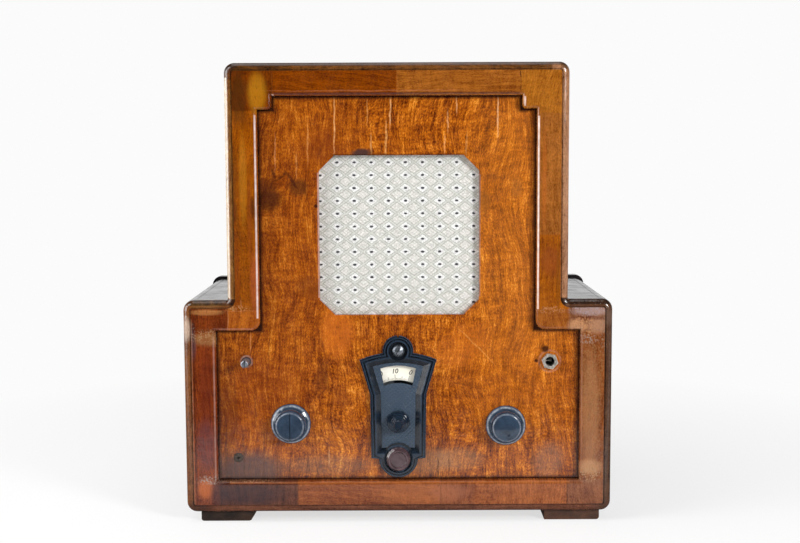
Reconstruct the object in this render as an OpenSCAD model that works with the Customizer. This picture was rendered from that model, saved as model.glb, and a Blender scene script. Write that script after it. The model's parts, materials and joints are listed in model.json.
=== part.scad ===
// Table radio receiver of the early 1930s in a stepped walnut cabinet.
// Millimetres, +Z up, the front faces -Y, the origin is under the middle of the whole thing.
// A depth is counted from the front face of the frame towards the back.

/* [Cabinet] */
// Width of the lower box
cabinet_w = 423; // [410:1:480]
// Width of the tower
tower_w = 335; // [300:1:345]
// Height of the tower's top above the table
cabinet_h = 454.4; // [435:1:520]
// Height of the two shoulders above the table
shoulder_z = 223.4; // [214:0.1:232]
// Depth of the cabinet from the frame's face to the back
cabinet_d = 228; // [222:1:280]
// Thickness of the cabinet boards
board_t = 12; // [8:0.5:15]
// Radius of the cabinet's outer corners
corner_r = 10; // [8.5:0.5:14]
// Width of the foot runners
foot_w = 55; // [40:1:70]
// Height of the foot runners
foot_h = 10.5; // [8:0.5:20]
// From the cabinet's side to the outer side of a foot runner
foot_inset = 12; // [9:1:34]
// How far both runners sit to the right of the middle
foot_shift = 1.5; // [0:0.1:3]
// Slant of the left runner's inner side
foot_slant = 4.5; // [1:0.5:7]
// Rounding of the right runner's outer lower edge
foot_round = 3; // [1:0.5:5]
// How far the runners stop short of the front
foot_setback = 8; // [2:1:20]
// Side of the glue blocks in the corners
glue_block = 14; // [8:1:16]

/* [Front frame] */
// How far the frame stands in front of the panel
frame_t = 9; // [6:0.5:12]
// Width of the frame's stiles
stile_w = 31.6; // [26:0.2:33]
// Height of the top rail
top_rail_h = 32; // [24:0.5:36]
// Height of the bottom rail
bottom_rail_h = 31.5; // [20:0.5:32]
// Height of the short rails under the shoulders
shoulder_rail_h = 30; // [20:0.5:32]
// Width of the notch in the frame's upper corners
notch_w = 14.3; // [8:0.1:20]
// Height of the notch in the frame's upper corners
notch_h = 13; // [8:0.5:20]
// Radius of the notch's corner
notch_r = 4; // [3.6:0.2:8]
// Radius where a tower stile turns into the shoulder rail
inner_corner_r = 9; // [4:0.5:14]
// Rounding of the frame's inner edge
frame_edge_r = 3.5; // [1:0.5:3.5]
// Width of the rounded moulding round the outside
moulding_w = 8; // [6:0.5:8]
// Width of the groove between the moulding and the frame
groove_w = 1.3; // [0.8:0.1:2]
// Depth of the groove between the moulding and the frame
groove_d = 1; // [0.5:0.1:2]
// Radius in the corner between a shoulder and the tower
hollow_r = 1.6; // [1:0.2:4]
// Thickness of the front panel
panel_t = 6; // [5:0.5:9]
// Depth of the round recess for the dial in the panel's back
dial_recess = 3; // [2:0.1:3.2]

/* [Loudspeaker opening] */
// Sideways place of the opening's middle
grille_x = 1.7; // [-5:0.1:5]
// Height of the opening's middle
grille_z = 286.3; // [282:0.5:300]
// Width and height of the opening
grille_size = 157; // [130:1:165]
// Cut corners of the opening
grille_corner = 15; // [8:0.5:24]
// Thickness of the speaker cloth
cloth_t = 0.8; // [0.5:0.1:1.5]
// How far the cloth reaches past the opening
cloth_margin = 9; // [5:1:14]
// Thickness of the baffle board
baffle_t = 8; // [6:0.5:12]
// How far the baffle board reaches past the opening's sides
baffle_room = 25.5; // [22:0.5:33]
// Shank of the baffle screws
baffle_screw_d = 3.5; // [3:0.1:4]

/* [Back] */
// Depth of the rear frame
rear_frame_t = 12; // [8:0.5:16]
// How far the rear frame stands proud of the boards
rear_lip = 2.5; // [2:0.5:8]
// Width of the rear frame inside the boards' outer faces
rear_frame_w = 19.5; // [16:0.5:22]
// Width of the ledge that the back cover lies on
rebate_w = 8; // [6:0.5:10]
// Thickness of the back cover
cover_t = 4; // [3:0.5:5]
// Length of the straight part of a ventilation slot
slot_l = 37; // [25:1:40]
// Height of a ventilation slot
slot_h = 5; // [3:0.5:7]
// Spacing of the ventilation slots
slot_pitch = 14; // [11:0.5:18]
// Head height of the back cover screws
cover_screw_h = 2; // [1:0.1:3]
// Shank of the back cover screws
cover_screw_d = 3.6; // [3:0.1:4.2]

/* [Dial plate] */
// Height of the dial axis above the table
dial_z = 100.6; // [98:0.1:104]
// Height of the drive knob's axis above the table
drive_z = 63.5; // [62:0.1:65]
// Height of the plate's fixing screw above the table
plate_screw_z = 172; // [170:0.5:175]
// Thickness of the plate with its raised rim
plate_t = 5; // [4:0.1:5]
// Thickness of the plate's sunk field
field_t = 1.2; // [1.2:0.1:2]
// Radius of the lobe round the drive knob
lower_lobe_r = 19.5; // [17:0.5:22]
// Radius of the lobe round the fixing screw
upper_lobe_r = 15.2; // [12:0.2:17]
// Half width of the plate at its straight foot
plate_half_foot = 27; // [24:0.5:30]
// Half width of the plate at its waist
plate_half_waist = 28; // [24:0.5:31]
// Height of the waist above the table
waist_z = 128; // [122:1:134]
// Half width of the plate at its upper corners
plate_half_top = 38.3; // [34:0.1:42]
// Height of the plate's upper corners above the table
plate_corner_z = 163; // [160:0.1:165.7]
// Width of the plate's raised rim
rim_w = 5; // [4.6:0.1:6]
// Width of the slope from the plate's rim down to its field
slope_w = 6; // [3:0.1:6.5]
// Depth of the channel round the plate's rim
channel_d = 1.2; // [0.4:0.1:1.6]
// Depth of the small notches at the plate's top and foot
plate_notch = 2.2; // [1:0.1:3]
// Inner radius of the dial window
window_r_in = 38.8; // [38:0.2:41]
// Outer radius of the dial window
window_r_out = 56.4; // [52:0.2:56.4]
// Half the angle of the dial window at its top
window_half = 18.2; // [14:0.1:20]
// Half the angle of the dial window at its foot
window_half_foot = 21.3; // [14:0.1:23]
// Outer radius of the dial scale
scale_r_out = 57; // [56:0.5:57.6]
// Inner radius of the dial scale
scale_r_in = 41; // [40.4:0.1:41.8]
// Thickness of the dial scale
scale_t = 0.5; // [0.3:0.1:0.8]
// Radius of the fixing screw's head
plate_screw_r = 6.8; // [5:0.1:8]

/* [Tuning drive] */
// Diameter of the main spindle
spindle_d = 6; // [5:0.1:6.4]
// Thickness of the wheel's sheet metal
wheel_t = 1; // [0.8:0.1:1.4]
// Diameter of the drive spindle
drive_spindle_d = 6; // [4:0.1:6.2]
// Radius of the two washers that grip the wheel's rim
pinch_r = 7; // [5.5:0.1:9]
// Thickness of the drive bracket
bracket_t = 1.5; // [1:0.1:2]

/* [Knobs] */
// Radius of the two large knobs at their foot
knob_r = 20; // [16:0.5:23]
// Length of the large knobs
knob_h = 16; // [13:0.5:22]
// Radius of the large knobs' front face
knob_face_r = 14.6; // [12:0.1:15]
// Sideways place of the left knob
volume_x = 107; // [90:1:120]
// Height of the left knob's axis above the table
volume_z = 99; // [88:0.5:106]
// Sideways place of the right knob
reaction_x = 107; // [90:1:120]
// Height of the right knob's axis above the table
reaction_z = 96.5; // [88:0.5:106]
// Diameter of the control spindles
control_spindle_d = 6; // [4:0.1:6.4]
// Radius of the body of a control
control_r = 18; // [14:0.5:20]
// Length of the body of a control
control_l = 19; // [12:1:24]
// Radius of the stepped knob at its foot
stepped_r = 11.2; // [10:0.1:12.5]
// Length of the stepped knob
stepped_h = 16.9; // [12:0.1:20]
// Radius of the drive knob
drive_knob_r = 11.8; // [9:0.1:13]
// Length of the drive knob
drive_knob_h = 9.5; // [7:0.1:14]

/* [Switch, jack and plug] */
// From the frame's stile to the middle of the mains switch
switch_inset = 29.4; // [24:0.2:39.8]
// Height of the mains switch above the table
switch_z = 161.5; // [150:0.5:168]
// Diameter of the switch spindle
switch_d = 7; // [5:0.1:8]
// How far the switch spindle stands out of the panel
switch_out = 18; // [10:0.5:30]
// Radius of the switch's bush
switch_bush_r = 4.6; // [4.4:0.1:7]
// From the frame's stile to the middle of the pick-up jack
jack_inset = 29.4; // [24:0.2:39.8]
// Height of the pick-up jack above the table
jack_z = 160.9; // [150:0.1:168]
// Nut of the jack across its flats
jack_nut_af = 14.3; // [13.2:0.1:17]
// Thickness of the jack's nut
jack_nut_t = 4; // [2:0.5:6]
// Bore of the jack
jack_bore_d = 9.3; // [8:0.1:10]
// From the frame's stile to the middle of the blind screw
plug_inset = 19.9; // [12:0.1:29.9]
// Height of the blind screw above the table
plug_z = 64.5; // [56:0.5:75]
// Radius of the blind screw
plug_r = 4.8; // [3:0.1:6]

/* [Chassis] */
// Room between a chassis flange and the glue blocks
chassis_side_room = 8.5; // [3.5:0.5:10.5]
// Front of the chassis, as a depth
chassis_front = 45; // [43:1:46]
// Room between the chassis and the back of the cabinet
chassis_back_room = 25; // [23:1:31]
// Height of the chassis
chassis_h = 47; // [40:0.5:48]
// Thickness of the chassis metal
sheet_t = 1.2; // [0.8:0.1:2]
// Width of the chassis flanges
flange_w = 12; // [10:0.5:14]
// Shank of the chassis screws
chassis_screw_d = 4; // [3:0.1:5]

/* [Tuning capacitor] */
// Width of the capacitor's frame
gang_w = 66; // [60:1:70]
// Height of the capacitor's frame
gang_h = 62; // [60:1:66]
// Front of the capacitor, as a depth
gang_front = 50; // [48:1:56]
// Length of the capacitor
gang_l = 70; // [66:1:74]
// Radius of the moving plates
rotor_r = 26; // [22:0.5:27]
// Thickness of the capacitor's plates
plate_sheet = 0.6; // [0.4:0.1:0.8]
// Spacing of the moving plates
plate_pitch = 3; // [2.6:0.1:3.2]

/* [Valves and parts on the chassis] */
// Radius of a valve's bulb
bulb_r = 22; // [17:0.5:24]
// Height of a valve's bulb
bulb_h = 78; // [60:1:82]
// Radius of a valve's base
base_r = 16; // [13:0.5:17]
// Height of a valve's base
base_h = 34; // [25:1:36]
// Height of a valve holder
holder_h = 8; // [5:0.5:9]
// From the back of the chassis to the middle of the row of valves
valve_setback = 38; // [33:1:43]
// Room between a valve and the piece beside it
valve_gap = 2; // [1:0.5:6]
// Radius of a coil can
can_r = 23; // [18:0.5:24]
// Height of a coil can
can_h = 68; // [50:1:90]
// Width of the mains transformer's core
core_w = 72; // [60:1:74]
// Height of the mains transformer's core
core_h = 60; // [50:1:80]
// Stack of the mains transformer's core
core_d = 34; // [24:1:40]
// Width of the capacitor block
block_w = 46; // [36:1:50]
// Height of the capacitor block
block_h = 72; // [50:1:110]

/* [Loudspeaker] */
// Radius of the loudspeaker's frame
basket_r = 75; // [72:0.5:80]
// Radius of the hole in the baffle
baffle_hole_r = 66; // [60:0.5:67]
// Depth of the loudspeaker's frame
basket_d = 45; // [36:1:55]
// Radius of the magnet pot
magnet_r = 42; // [36:1:50]
// Length of the magnet pot
magnet_l = 46; // [30:1:60]
// Radius of the voice coil
voice_coil_r = 15.6; // [12:0.2:20]
// How far the cone moves each way
cone_travel = 1; // [0.5:0.1:1.5]

/* [Fits] */
// Radial clearance of a spindle in its bearing
running_fit = 0.06; // [0.03:0.01:0.1]
// Clearance of pieces that are put in place by hand
hand_fit = 0.25; // [0.1:0.05:0.4]

/* [Hidden] */

$fn = 48;
eps = 0.01;

// Colours
walnut = "#8a4416";
panel_walnut = "#a85a1c";
black_lacquer = "#17151a";
bakelite = "#23282f";
brown_bakelite = "#4a2a24";
nickel = "#b9b6b0";
steel = "#8d9196";
raw_wood = "#b08a5a";

// Depths of the layers, front to back
panel_front = frame_t;
panel_back = frame_t + panel_t;
baffle_front = panel_back + cloth_t;
baffle_back = baffle_front + baffle_t;
rear_front = cabinet_d - rear_frame_t;
cover_front = cabinet_d - cover_t;
plate_front = panel_front - plate_t;
field_front = panel_front - field_t;
recess_front = panel_back - dial_recess;

// Place of the front face, so that the origin is in the middle from front to back
knob_gap = 0.5;
front_reach = max(switch_out, knob_gap + knob_h, field_t + knob_gap + stepped_h) - frame_t;
front_y = (front_reach - cabinet_d - cover_screw_h) / 2;

// Half widths and heights
lower_half = cabinet_w / 2;
tower_half = tower_w / 2;
inside_floor = foot_h + board_t;
deck_z = inside_floor + chassis_h;

// Sizes that follow the cabinet's width and depth
foot_x = lower_half - foot_inset - foot_w / 2;
chassis_w = cabinet_w - 2 * (board_t + glue_block + flange_w + chassis_side_room);
chassis_d = cabinet_d - chassis_front - chassis_back_room;
chassis_back = chassis_front + chassis_d;
valve_row = chassis_back - valve_setback;

// Dial scale and wheel
scale_front = recess_front + 0.4;
wheel_front = scale_front + scale_t;
friction_front = panel_back + 2.5;
drive_gap = dial_z - drive_z;
pinch_gap = 0.2;
friction_r = drive_gap - drive_spindle_d / 2 - 0.3;
web_middle = 166;
web_half = 70;
hub_r = 8;
carrier_r_out = scale_r_out - 0.5;
bracket_front = friction_front + wheel_t + pinch_gap + 1.9;

// Rest reading of the dial, in degrees before the scale's zero
rest_turn = 14;

// Points of a circle round (cx, cz) from angle a0 to a1
function arc(cx, cz, r, a0, a1, n = 6) =
    [for (i = [0:n]) let (a = a0 + (a1 - a0) * i / n) [cx + r * cos(a), cz + r * sin(a)]];

// The same points on the other side, in the order that closes the outline
function flipped(pts) = [for (i = [len(pts) - 1:-1:0]) [-pts[i][0], pts[i][1]]];

// The field inside the front frame
field_top = cabinet_h - top_rail_h;
field_base = foot_h + bottom_rail_h;
field_shoulder = shoulder_z - shoulder_rail_h;
field_tower = tower_half - stile_w;
field_lower = lower_half - stile_w;
notch_x = field_tower - notch_w;
notch_z = field_top - notch_h;

// Places in the panel that follow the frame's stiles
switch_x = field_lower - switch_inset;
jack_x = field_lower - jack_inset;
plug_x = field_lower - plug_inset;

// Square with cut corners
function cut_square(half, cut) = [[half, -half + cut], [half, half - cut], [half - cut, half],
    [-half + cut, half], [-half, half - cut], [-half, -half + cut], [-half + cut, -half],
    [half - cut, -half]];

// Outline of the dial plate, drawn in by e
crown_r = 99;
crown_z = plate_corner_z - sqrt(crown_r * crown_r - plate_half_top * plate_half_top);
function crown_meets(e) =
    let (a = crown_r - e, b = upper_lobe_r - e, d = plate_screw_z - crown_z,
        z = (a * a - b * b + d * d) / (2 * d))
    [sqrt(a * a - z * z), crown_z + z];
function plate_half(e) =
    let (meet = crown_meets(e), corner = plate_half_top - 1.25 * e,
        corner_angle = acos(corner / (crown_r - e)),
        meet_angle = atan2(meet[1] - crown_z, meet[0]),
        lobe_angle = atan2(meet[1] - plate_screw_z, meet[0]))
    concat(
        arc(0, drive_z, lower_lobe_r - e, -90, 0, 12),
        [[plate_half_foot - e, drive_z + e], [plate_half_waist - e, waist_z]],
        arc(0, crown_z, crown_r - e, corner_angle, meet_angle, 8),
        arc(0, plate_screw_z, upper_lobe_r - e, lobe_angle, 90, 12));
function plate_outline(e) = concat(plate_half(e), flipped(plate_half(e)));

// Where the slopes of the dial plate start: foot, waist and upper corner of its right side
field_foot = [plate_half_foot - rim_w, drive_z + rim_w];
field_waist = [plate_half_waist - rim_w, waist_z];
field_crown_r = crown_r - rim_w;
field_corner_x = plate_half_top - 1.25 * rim_w;
field_corner_z = crown_z + sqrt(field_crown_r * field_crown_r - field_corner_x * field_corner_x);
field_corner = [field_corner_x, field_corner_z];

// Sector of a ring, its angles counted from straight up towards the right
function ring_sector(r_in, r_out, a0, a1, n = 12) =
    concat(arc(0, 0, r_out, 90 - a1, 90 - a0, n), arc(0, 0, r_in, 90 - a0, 90 - a1, n));

// A rectangle given by its edges
module area(x0, x1, z0, z1) {
    translate([x0, z0])
        square([x1 - x0, z1 - z0]);
}

// The hollow between a level edge and an upright edge, at both sides
module hollow_corners(x, z, r) {
    for (s = [-1, 1])
        scale([s, 1])
            difference() {
                area(x - 1, x + r, z - 1, z + r);
                translate([x + r, z + r])
                    circle(r = r);
            }
}

// A lower box, two shoulders and a tower, with round corners
module stepped(lower, tower, base, shoulder, top, r, hollow = 0) {
    for (s = [-1, 1])
        for (p = [[lower - r, base + r], [lower - r, shoulder - r], [tower - r, top - r]])
            translate([s * p[0], p[1]])
                circle(r = r);
    area(-lower + r, lower - r, base, shoulder);
    area(-lower, lower, base + r, shoulder - r);
    area(-tower, tower, shoulder - r, top - r);
    area(-tower + r, tower - r, shoulder, top);
    if (hollow > 0)
        hollow_corners(tower, shoulder, hollow);
}

// The cabinet's outline, drawn in by e
module cabinet_outline(e) {
    stepped(lower_half - e, tower_half - e, foot_h + e, shoulder_z - e, cabinet_h - e,
        corner_r - e, hollow_r + e);
}

// The field inside the front frame, made wider by e
module frame_field(e) {
    lower = field_lower + e;
    tower = field_tower + e;
    area(-lower, lower, field_base - e, field_shoulder + e);
    area(-tower, tower, field_shoulder - 1, notch_z + e);
    area(-notch_x - e, notch_x + e, field_shoulder, field_top + e);
    hollow_corners(tower, field_shoulder + e, inner_corner_r - e);
    hollow_corners(notch_x + e, notch_z + e, notch_r - e);
}

// A flat shape in X and Z between two depths
module slab(d0, d1) {
    translate([0, front_y + d1, 0])
        rotate([90, 0, 0])
            linear_extrude(d1 - d0)
                children();
}

// A body turned round an axis that points forward, its foot at depth d
module turned(x, z, d) {
    translate([x, front_y + d, z])
        rotate([90, 0, 0])
            rotate_extrude()
                children();
}

// A rod or bore that points forward, from depth d0 to depth d1
module rod(x, z, r, d0, d1) {
    translate([x, front_y + d1, z])
        rotate([90, 0, 0])
            cylinder(r = r, h = d1 - d0);
}

// A box given by its middle in X, its depths and its heights
module block(x, w, d0, d1, z0, z1) {
    translate([x - w / 2, front_y + d0, z0])
        cube([w, d1 - d0, z1 - z0]);
}

// An upright pin, from height z0 to z1
module pin(x, d, r, z0, z1) {
    translate([x, front_y + d, z0])
        cylinder(r = r, h = z1 - z0);
}

// Places that repeat
baffle_half = grille_size / 2 + baffle_room;
baffle_hold = baffle_half - 9;
baffle_screw_at = [for (sx = [-1, 1]) for (sz = [-1, 1])
    [grille_x + sx * baffle_hold, grille_z + sz * (grille_size / 2 + 9)]];
cover_hold = rear_frame_w + rebate_w / 2;
cover_screw_at = [
    for (s = [-1, 1]) each [
        [s * (lower_half - cover_hold), foot_h + 50],
        [s * (lower_half - cover_hold), shoulder_z - 40],
        [s * (tower_half - cover_hold), shoulder_z + 60],
        [s * (tower_half - cover_hold), cabinet_h - 50]]];
flange_x = chassis_w / 2 + flange_w / 2;
chassis_screw_at = [for (s = [-1, 1]) for (d = [25, chassis_d - 25]) [s * flange_x, chassis_front + d]];
core_x = (core_w - chassis_w) / 2 + 12;
first_valve = core_x + block_w / 2 + bulb_r + valve_gap;
last_valve = chassis_w / 2 - bulb_r - 15;
valve_xs = [for (i = [0:3]) first_valve + (last_valve - first_valve) * i / 3];
can_gap = (chassis_w / 2 - gang_w / 2 - 4 * can_r) / 3;
can_xs = [for (i = [0, 1]) gang_w / 2 + can_gap + can_r + i * (2 * can_r + can_gap)];
can_depth = chassis_front + 42;

// Rounded moulding round the outside of the frame
module moulding_profile() {
    r = moulding_w - groove_w;
    straight = panel_back - r;
    square([moulding_w, straight]);
    intersection() {
        translate([r, straight])
            circle(r = r);
        translate([0, straight])
            square(r);
    }
    translate([r, straight])
        square([groove_w, r - groove_d]);
}

module moulding_run(length) {
    linear_extrude(length)
        rotate(180)
            moulding_profile();
}

module moulding_turn(x, z, a) {
    translate([x, front_y + panel_back, z])
        rotate([90, 0, 0])
            rotate([0, 0, a])
                rotate_extrude(angle = 90)
                    translate([corner_r, 0])
                        mirror([1, 0])
                            moulding_profile();
}

module moulding_half() {
    back_y = front_y + panel_back;
    translate([0, back_y, foot_h])
        rotate([0, 90, 0])
            moulding_run(lower_half - corner_r);
    moulding_turn(lower_half - corner_r, foot_h + corner_r, -90);
    translate([lower_half, back_y, foot_h + corner_r])
        moulding_run(shoulder_z - foot_h - 2 * corner_r);
    moulding_turn(lower_half - corner_r, shoulder_z - corner_r, 0);
    translate([lower_half - corner_r, back_y, shoulder_z])
        rotate([0, -90, 0])
            moulding_run(lower_half - corner_r - tower_half - hollow_r);
    translate([tower_half + hollow_r, back_y, shoulder_z + hollow_r])
        rotate([90, 0, 0])
            rotate([0, 0, 180])
                rotate_extrude(angle = 90)
                    translate([hollow_r, 0])
                        moulding_profile();
    translate([tower_half, back_y, shoulder_z + hollow_r])
        moulding_run(cabinet_h - shoulder_z - hollow_r - corner_r);
    moulding_turn(tower_half - corner_r, cabinet_h - corner_r, 0);
    translate([tower_half - corner_r, back_y, cabinet_h])
        rotate([0, -90, 0])
            moulding_run(tower_half - corner_r);
}

module edge_moulding() {
    color(walnut)
        union() {
            moulding_half();
            mirror([1, 0, 0])
                moulding_half();
        }
}

// Quarter round of the frame's inner edge: into the wood, and back from the face
module edge_profile() {
    intersection() {
        translate([frame_edge_r, frame_edge_r])
            circle(r = frame_edge_r);
        square(frame_edge_r);
    }
}

// Round edge of a stile whose wood is on its right
module upright_edge(x, z0, z1) {
    translate([x, front_y, z0])
        linear_extrude(z1 - z0)
            edge_profile();
}

// Round edge of a rail whose wood is above
module level_edge(z, x0, x1) {
    translate([x1, front_y, z])
        rotate([0, -90, 0])
            linear_extrude(x1 - x0)
                edge_profile();
}

// Round edge of a rounded corner that points down and to the left
module corner_edge(x, z, r) {
    translate([x + r, front_y + frame_edge_r, z + r])
        rotate([90, 0, 0])
            rotate([0, 0, 180])
                rotate_extrude(angle = 90)
                    intersection() {
                        translate([r - frame_edge_r, 0])
                            circle(r = frame_edge_r);
                        translate([r - frame_edge_r, 0])
                            square(frame_edge_r);
                    }
}

module frame_edges() {
    e = frame_edge_r;
    upright_edge(field_lower, field_base - e, field_shoulder + e);
    level_edge(field_shoulder, field_tower + inner_corner_r, field_lower + e);
    corner_edge(field_tower, field_shoulder, inner_corner_r);
    upright_edge(field_tower, field_shoulder + inner_corner_r, notch_z + e);
    level_edge(notch_z, notch_x + notch_r, field_tower + e);
    corner_edge(notch_x, notch_z, notch_r);
    upright_edge(notch_x, notch_z + notch_r, field_top + e);
}

module front_frame() {
    e = frame_edge_r;
    color(walnut)
        union() {
            slab(e, panel_front)
                difference() {
                    cabinet_outline(moulding_w);
                    frame_field(0);
                }
            slab(0, e)
                difference() {
                    cabinet_outline(moulding_w);
                    frame_field(e);
                }
            frame_edges();
            mirror([1, 0, 0])
                frame_edges();
            level_edge(field_top, -notch_x - e, notch_x + e);
            translate([-field_lower - e, front_y, field_base])
                rotate([0, 90, 0])
                    linear_extrude(2 * (field_lower + e))
                        edge_profile();
        }
}

window_cut = 21;

module front_panel() {
    color(panel_walnut)
        difference() {
            slab(panel_front, panel_back)
                difference() {
                    cabinet_outline(moulding_w);
                    translate([grille_x, grille_z])
                        polygon(cut_square(grille_size / 2, grille_corner));
                    area(-window_cut, window_cut, dial_z - 14, dial_z + window_r_out + 2.6);
                }
            rod(0, dial_z, scale_r_out + 1.2, recess_front, panel_back + 1);
            rod(0, drive_z, drive_bush_r + hand_fit / 2, panel_front - 1, panel_back + 1);
            rod(-volume_x, volume_z, control_bush_r + hand_fit / 2, panel_front - 1, panel_back + 1);
            rod(reaction_x, reaction_z, control_bush_r + hand_fit / 2, panel_front - 1, panel_back + 1);
            rod(-switch_x, switch_z, switch_bush_r + hand_fit / 2, panel_front - 1, panel_back + 1);
            rod(jack_x, jack_z, jack_bush_r + hand_fit / 2, panel_front - 1, panel_back + 1);
            rod(-plug_x, plug_z, plug_shank_r + hand_fit / 2, panel_front - 1, panel_back + 1);
            rod(0, plate_screw_z, plate_shank_r + hand_fit / 2, panel_front - 1, panel_back + 1);
            for (p = baffle_screw_at)
                rod(p[0], p[1], baffle_screw_d / 2 + hand_fit / 2, panel_back - 4, panel_back + 1);
        }
}

// The part of the cabinet's wall inside a rectangle
module wall(x0, x1, z0, z1) {
    slab(panel_back, rear_front)
        intersection() {
            difference() {
                cabinet_outline(0);
                area(-lower_half + board_t, lower_half - board_t, inside_floor, shoulder_z - board_t);
                area(-tower_half + board_t, tower_half - board_t, inside_floor, cabinet_h - board_t);
            }
            area(x0, x1, z0, z1);
        }
}

module bottom_board() {
    color(raw_wood)
        difference() {
            wall(-lower_half + board_t, lower_half - board_t, foot_h, inside_floor);
            for (p = chassis_screw_at)
                pin(p[0], p[1], chassis_screw_d / 2 + hand_fit / 2, inside_floor - board_t * 0.75,
                    inside_floor + 1);
        }
}

module side_board_left() {
    color(black_lacquer)
        wall(-lower_half, -lower_half + board_t, foot_h, shoulder_z);
}

module side_board_right() {
    color(black_lacquer)
        wall(lower_half - board_t, lower_half, foot_h, shoulder_z);
}

module shoulder_board_left() {
    color(black_lacquer)
        wall(-lower_half + board_t, -tower_half + board_t, shoulder_z - board_t, shoulder_z);
}

module shoulder_board_right() {
    color(black_lacquer)
        wall(tower_half - board_t, lower_half - board_t, shoulder_z - board_t, shoulder_z);
}

module tower_side_left() {
    color(black_lacquer)
        wall(-tower_half, -tower_half + board_t, shoulder_z, cabinet_h);
}

module tower_side_right() {
    color(black_lacquer)
        wall(tower_half - board_t, tower_half, shoulder_z, cabinet_h);
}

module top_board() {
    color(black_lacquer)
        wall(-tower_half + board_t, tower_half - board_t, cabinet_h - board_t, cabinet_h);
}

module rear_outline(e) {
    stepped(lower_half - e, tower_half - e, foot_h + e, shoulder_z - e, cabinet_h - e, 3);
}

module rear_frame() {
    color(black_lacquer)
        difference() {
            slab(rear_front, cabinet_d)
                difference() {
                    stepped(lower_half + rear_lip, tower_half + rear_lip, foot_h,
                        shoulder_z + rear_lip, cabinet_h + rear_lip, corner_r);
                    rear_outline(rear_frame_w + rebate_w);
                }
            slab(cover_front, cabinet_d + 1)
                rear_outline(rear_frame_w);
            for (p = cover_screw_at)
                rod(p[0], p[1], cover_screw_d / 2 + hand_fit / 2, cover_front - 7, cover_front + 1);
        }
}

module glue_corner(x, z, sx, sz) {
    slab(panel_back, rear_front)
        polygon([[x, z], [x - sx * glue_block, z], [x - sx * glue_block, z - sz * 4],
            [x - sx * 4, z - sz * glue_block], [x, z - sz * glue_block]]);
}

module glue_blocks() {
    color(raw_wood)
        for (s = [-1, 1]) {
            glue_corner(s * (lower_half - board_t), inside_floor, s, -1);
            glue_corner(s * (lower_half - board_t), shoulder_z - board_t, s, 1);
            glue_corner(s * (tower_half - board_t), cabinet_h - board_t, s, 1);
        }
}

// Windows in the back cover for the terminals and the mains bush
terminal_x = 100;
terminal_w = 96;
terminal_pitch = 18;
terminal_z = inside_floor + 20;
terminal_h = 20;
mains_x = -120;
mains_z = inside_floor + 28;
mains_r = 7;

slot_spacing = 60;

module slot(x, z) {
    translate([x - slot_l / 2, z - slot_h / 2])
        square([slot_l, slot_h]);
    for (s = [-1, 1])
        translate([x + s * slot_l / 2, z])
            circle(d = slot_h);
}

module back_cover() {
    color("#5b4630")
        difference() {
            slab(cover_front, cabinet_d)
                difference() {
                    rear_outline(rear_frame_w + hand_fit);
                    for (i = [0:3])
                        for (x = [-2.5:2.5])
                            slot(x * slot_spacing, inside_floor + 92 + i * slot_pitch);
                    for (i = [0:9])
                        for (x = [-1.5:1.5])
                            slot(x * slot_spacing, shoulder_z + 20 + i * slot_pitch);
                    translate([terminal_x - terminal_w / 2 - 4, terminal_z - 4])
                        square([terminal_w + 8, terminal_h + 8]);
                    translate([mains_x, mains_z])
                        circle(r = mains_r + hand_fit / 2);
                }
            for (p = cover_screw_at)
                rod(p[0], p[1], cover_screw_d / 2 + hand_fit / 2, cover_front - 1, cabinet_d + 1);
        }
}

module back_cover_screws() {
    color(steel)
        for (p = cover_screw_at)
            back_screw_at(p);
}

module back_screw_at(p) {
    difference() {
        union() {
            rod(p[0], p[1], cover_screw_d / 2, cover_front - 6, cabinet_d);
            translate([p[0], front_y + cabinet_d, p[1]])
                rotate([-90, 0, 0])
                    rotate_extrude()
                        polygon([[0, 0], [3.4, 0], [3.2, cover_screw_h * 0.5],
                            [2.2, cover_screw_h], [0, cover_screw_h]]);
        }
        block(p[0], 8, cabinet_d + cover_screw_h * 0.45, cabinet_d + cover_screw_h + 1,
            p[1] - 0.4, p[1] + 0.4);
    }
}

foot_inner = foot_x - foot_w / 2;
foot_outer = foot_x + foot_w / 2;
worn_corner = 2.6;

module foot_left() {
    color("#3a2418")
        slab(foot_setback, rear_front - 4)
            translate([foot_shift - foot_outer, 0])
                polygon(concat(arc(worn_corner, worn_corner, worn_corner, 180, 270, 4),
                    [[foot_w - foot_slant - worn_corner, 0], [foot_w - foot_slant - 0.6, 0.7],
                        [foot_w - foot_slant + 0.4, 2.2], [foot_w, foot_h - 1.5],
                        [foot_w, foot_h], [0, foot_h]]));
}

module foot_right() {
    color("#3a2418")
        slab(foot_setback, rear_front - 4)
            translate([foot_shift, 0]) {
                area(foot_inner, foot_outer - foot_round, 0, foot_h);
                area(foot_inner, foot_outer, foot_round, foot_h);
                translate([foot_outer - foot_round, foot_round])
                    circle(r = foot_round);
            }
}

module speaker_cloth() {
    color("#d9d8d2")
        slab(panel_back, baffle_front)
            translate([grille_x, grille_z])
                square(grille_size + 2 * cloth_margin, center = true);
}

module baffle_board() {
    color(raw_wood)
        difference() {
            slab(baffle_front, baffle_back)
                translate([grille_x, grille_z])
                    difference() {
                        square([2 * baffle_half, grille_size + 2 * 16], center = true);
                        circle(r = baffle_hole_r, $fn = 96);
                    }
            for (p = baffle_screw_at)
                rod(p[0], p[1], baffle_screw_d / 2 + hand_fit / 2, baffle_front - 1, baffle_back + 1);
        }
}

module baffle_screws() {
    color(steel)
        for (p = baffle_screw_at) {
            rod(p[0], p[1], baffle_screw_d / 2, panel_back - 3.5, baffle_back + eps);
            translate([p[0], front_y + baffle_back, p[1]])
                rotate([-90, 0, 0])
                    rotate_extrude()
                        polygon([[0, 0], [3.5, 0], [3.1, 1.2], [1.8, 2], [0, 2]]);
        }
}

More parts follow.
